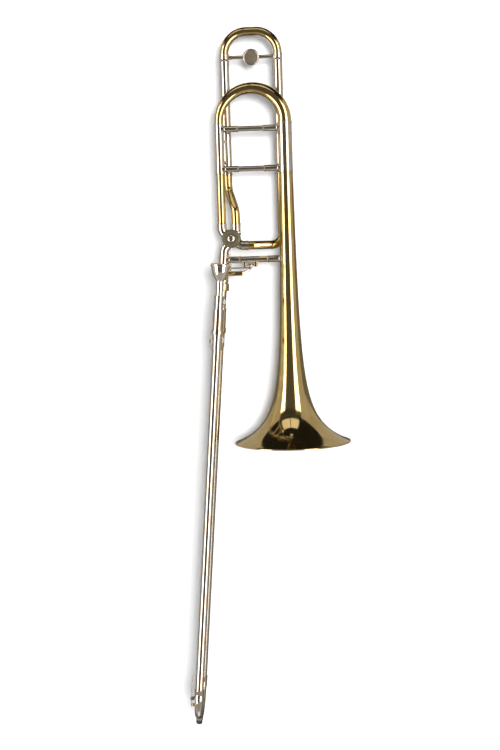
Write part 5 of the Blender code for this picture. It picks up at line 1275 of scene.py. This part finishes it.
    def hide_card(self, card: bpy.types.Object) -> None:
        """Leaves a card to be seen only in the metal."""
        card.visible_camera = False
        card.visible_diffuse = False
        card.visible_shadow = False
        card.visible_transmission = False

    def dome_card(self, card: Card, side: int, material: bpy.types.Material) -> None:
        """Builds a card on one side of the dome that stands round the instrument.

        Args:
            card: The card.
            side: 1 for the right side, -1 for the left.
            material: Its material.
        """
        low, high = (math.radians(height) for height in card.heights)
        front = self.dome_turn - math.pi / 2
        first, last = (front + math.radians(side * bearing) for bearing in card.bearings)
        shape = bmesh.new()
        column = []
        for step in range(9):
            height = low + (high - low) * step / 8
            across = card.reach * math.cos(height)
            place = (across * math.cos(first), across * math.sin(first), card.reach * math.sin(height))
            column.append(shape.verts.new(place))
        edges = [shape.edges.new(pair) for pair in zip(column, column[1:])]
        axis, steps = (0.0, 0.0, 1.0), 12
        bmesh.ops.spin(shape, geom=column + edges, cent=(0, 0, 0), axis=axis, angle=last - first, steps=steps)
        self.hide_card(self.staged(f"{card.name}_{'right' if side > 0 else 'left'}", shape, material))

    def staged(self, name: str, shape: bmesh.types.BMesh, material: bpy.types.Material) -> bpy.types.Object:
        """Makes a shape a staged object, which isn't part of the instrument."""
        mesh = bpy.data.meshes.new(name)
        shape.to_mesh(mesh)
        shape.free()
        mesh.materials.append(material)
        thing = bpy.data.objects.new(name, mesh)
        bpy.context.scene.collection.objects.link(thing)
        return thing

    def build_cards(self) -> None:
        """Builds the cards that give the metal its dark and bright bands."""
        for card in self.cards:
            material = self.card_material(card.name + "_cloth", card.level)
            self.dome_card(card, 1, material)
            self.dome_card(card, -1, material)

    def lamp(self, name: str, place: Point, size: tuple[float, float], power: float, target: Point) -> None:
        """A rectangular soft light.

        Args:
            name: Its name.
            place: Where it stands.
            size: Its width and height.
            power: Its power in watts.
            target: What it points at.
        """
        light = bpy.data.lights.new(name, "AREA")
        light.shape = "RECTANGLE"
        light.size, light.size_y = size
        light.energy = power
        lamp = bpy.data.objects.new(name, light)
        bpy.context.scene.collection.objects.link(lamp)
        lamp.location = place
        turn = (Vector(target) - Vector(place)).to_track_quat("-Z", "Y")
        lamp.rotation_euler = turn.to_euler()
        lamp.visible_camera = False
        lamp.visible_glossy = False

    def build_lights(self) -> None:
        """Builds the lights: a key near the camera, and a wide fill from above."""
        middle = (0.05, 0.1, -0.15)
        self.lamp("key", (0.60, -4.2, 0.16), (0.68, 0.68), 225.0, middle)
        self.lamp("fill", (-0.6, -2.6, 2.2), (2.4, 1.2), 14.0, middle)

    def build_camera(self) -> None:
        """Builds the camera."""
        across, down, roll = self.azimuth, self.drop, self.roll
        ahead = Vector((-math.sin(across) * math.cos(down), math.cos(across) * math.cos(down), -math.sin(down)))
        right = Vector((math.cos(across), math.sin(across), 0.0))
        up = right.cross(ahead)
        turned_right = right * math.cos(roll) - up * math.sin(roll)
        turned_up = right * math.sin(roll) + up * math.cos(roll)
        turn = Matrix((turned_right, turned_up, -ahead)).transposed().to_4x4()
        place = NECK_JOINT + Vector(self.camera_offset)
        data = bpy.data.cameras.new("photo_camera")
        data.lens = self.focal
        data.sensor_width = 36.0
        camera = bpy.data.objects.new("photo_camera", data)
        bpy.context.scene.collection.objects.link(camera)
        camera.matrix_world = Matrix.Translation(place) @ turn
        bpy.context.scene.camera = camera


def write_sizes() -> None:
    """Brings the view layer up to date."""
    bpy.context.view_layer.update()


def main() -> None:
    """Builds the instrument's sections in order, then the studio."""
    logging.basicConfig(level=logging.INFO, format="%(name)s %(message)s")
    bpy.context.scene.view_settings.view_transform = "Standard"
    sections = (InnerSlide(), NeckJoint(), Mouthpiece(), OuterSlide(), Valve(), MainTuning(), Bell())
    for section in (*sections, FAttachment(), ThumbLever()):
        LOG.info("building %s", type(section).__name__)
        section.build()
    Studio().build()
    write_sizes()


if __name__ == "__main__":
    main()
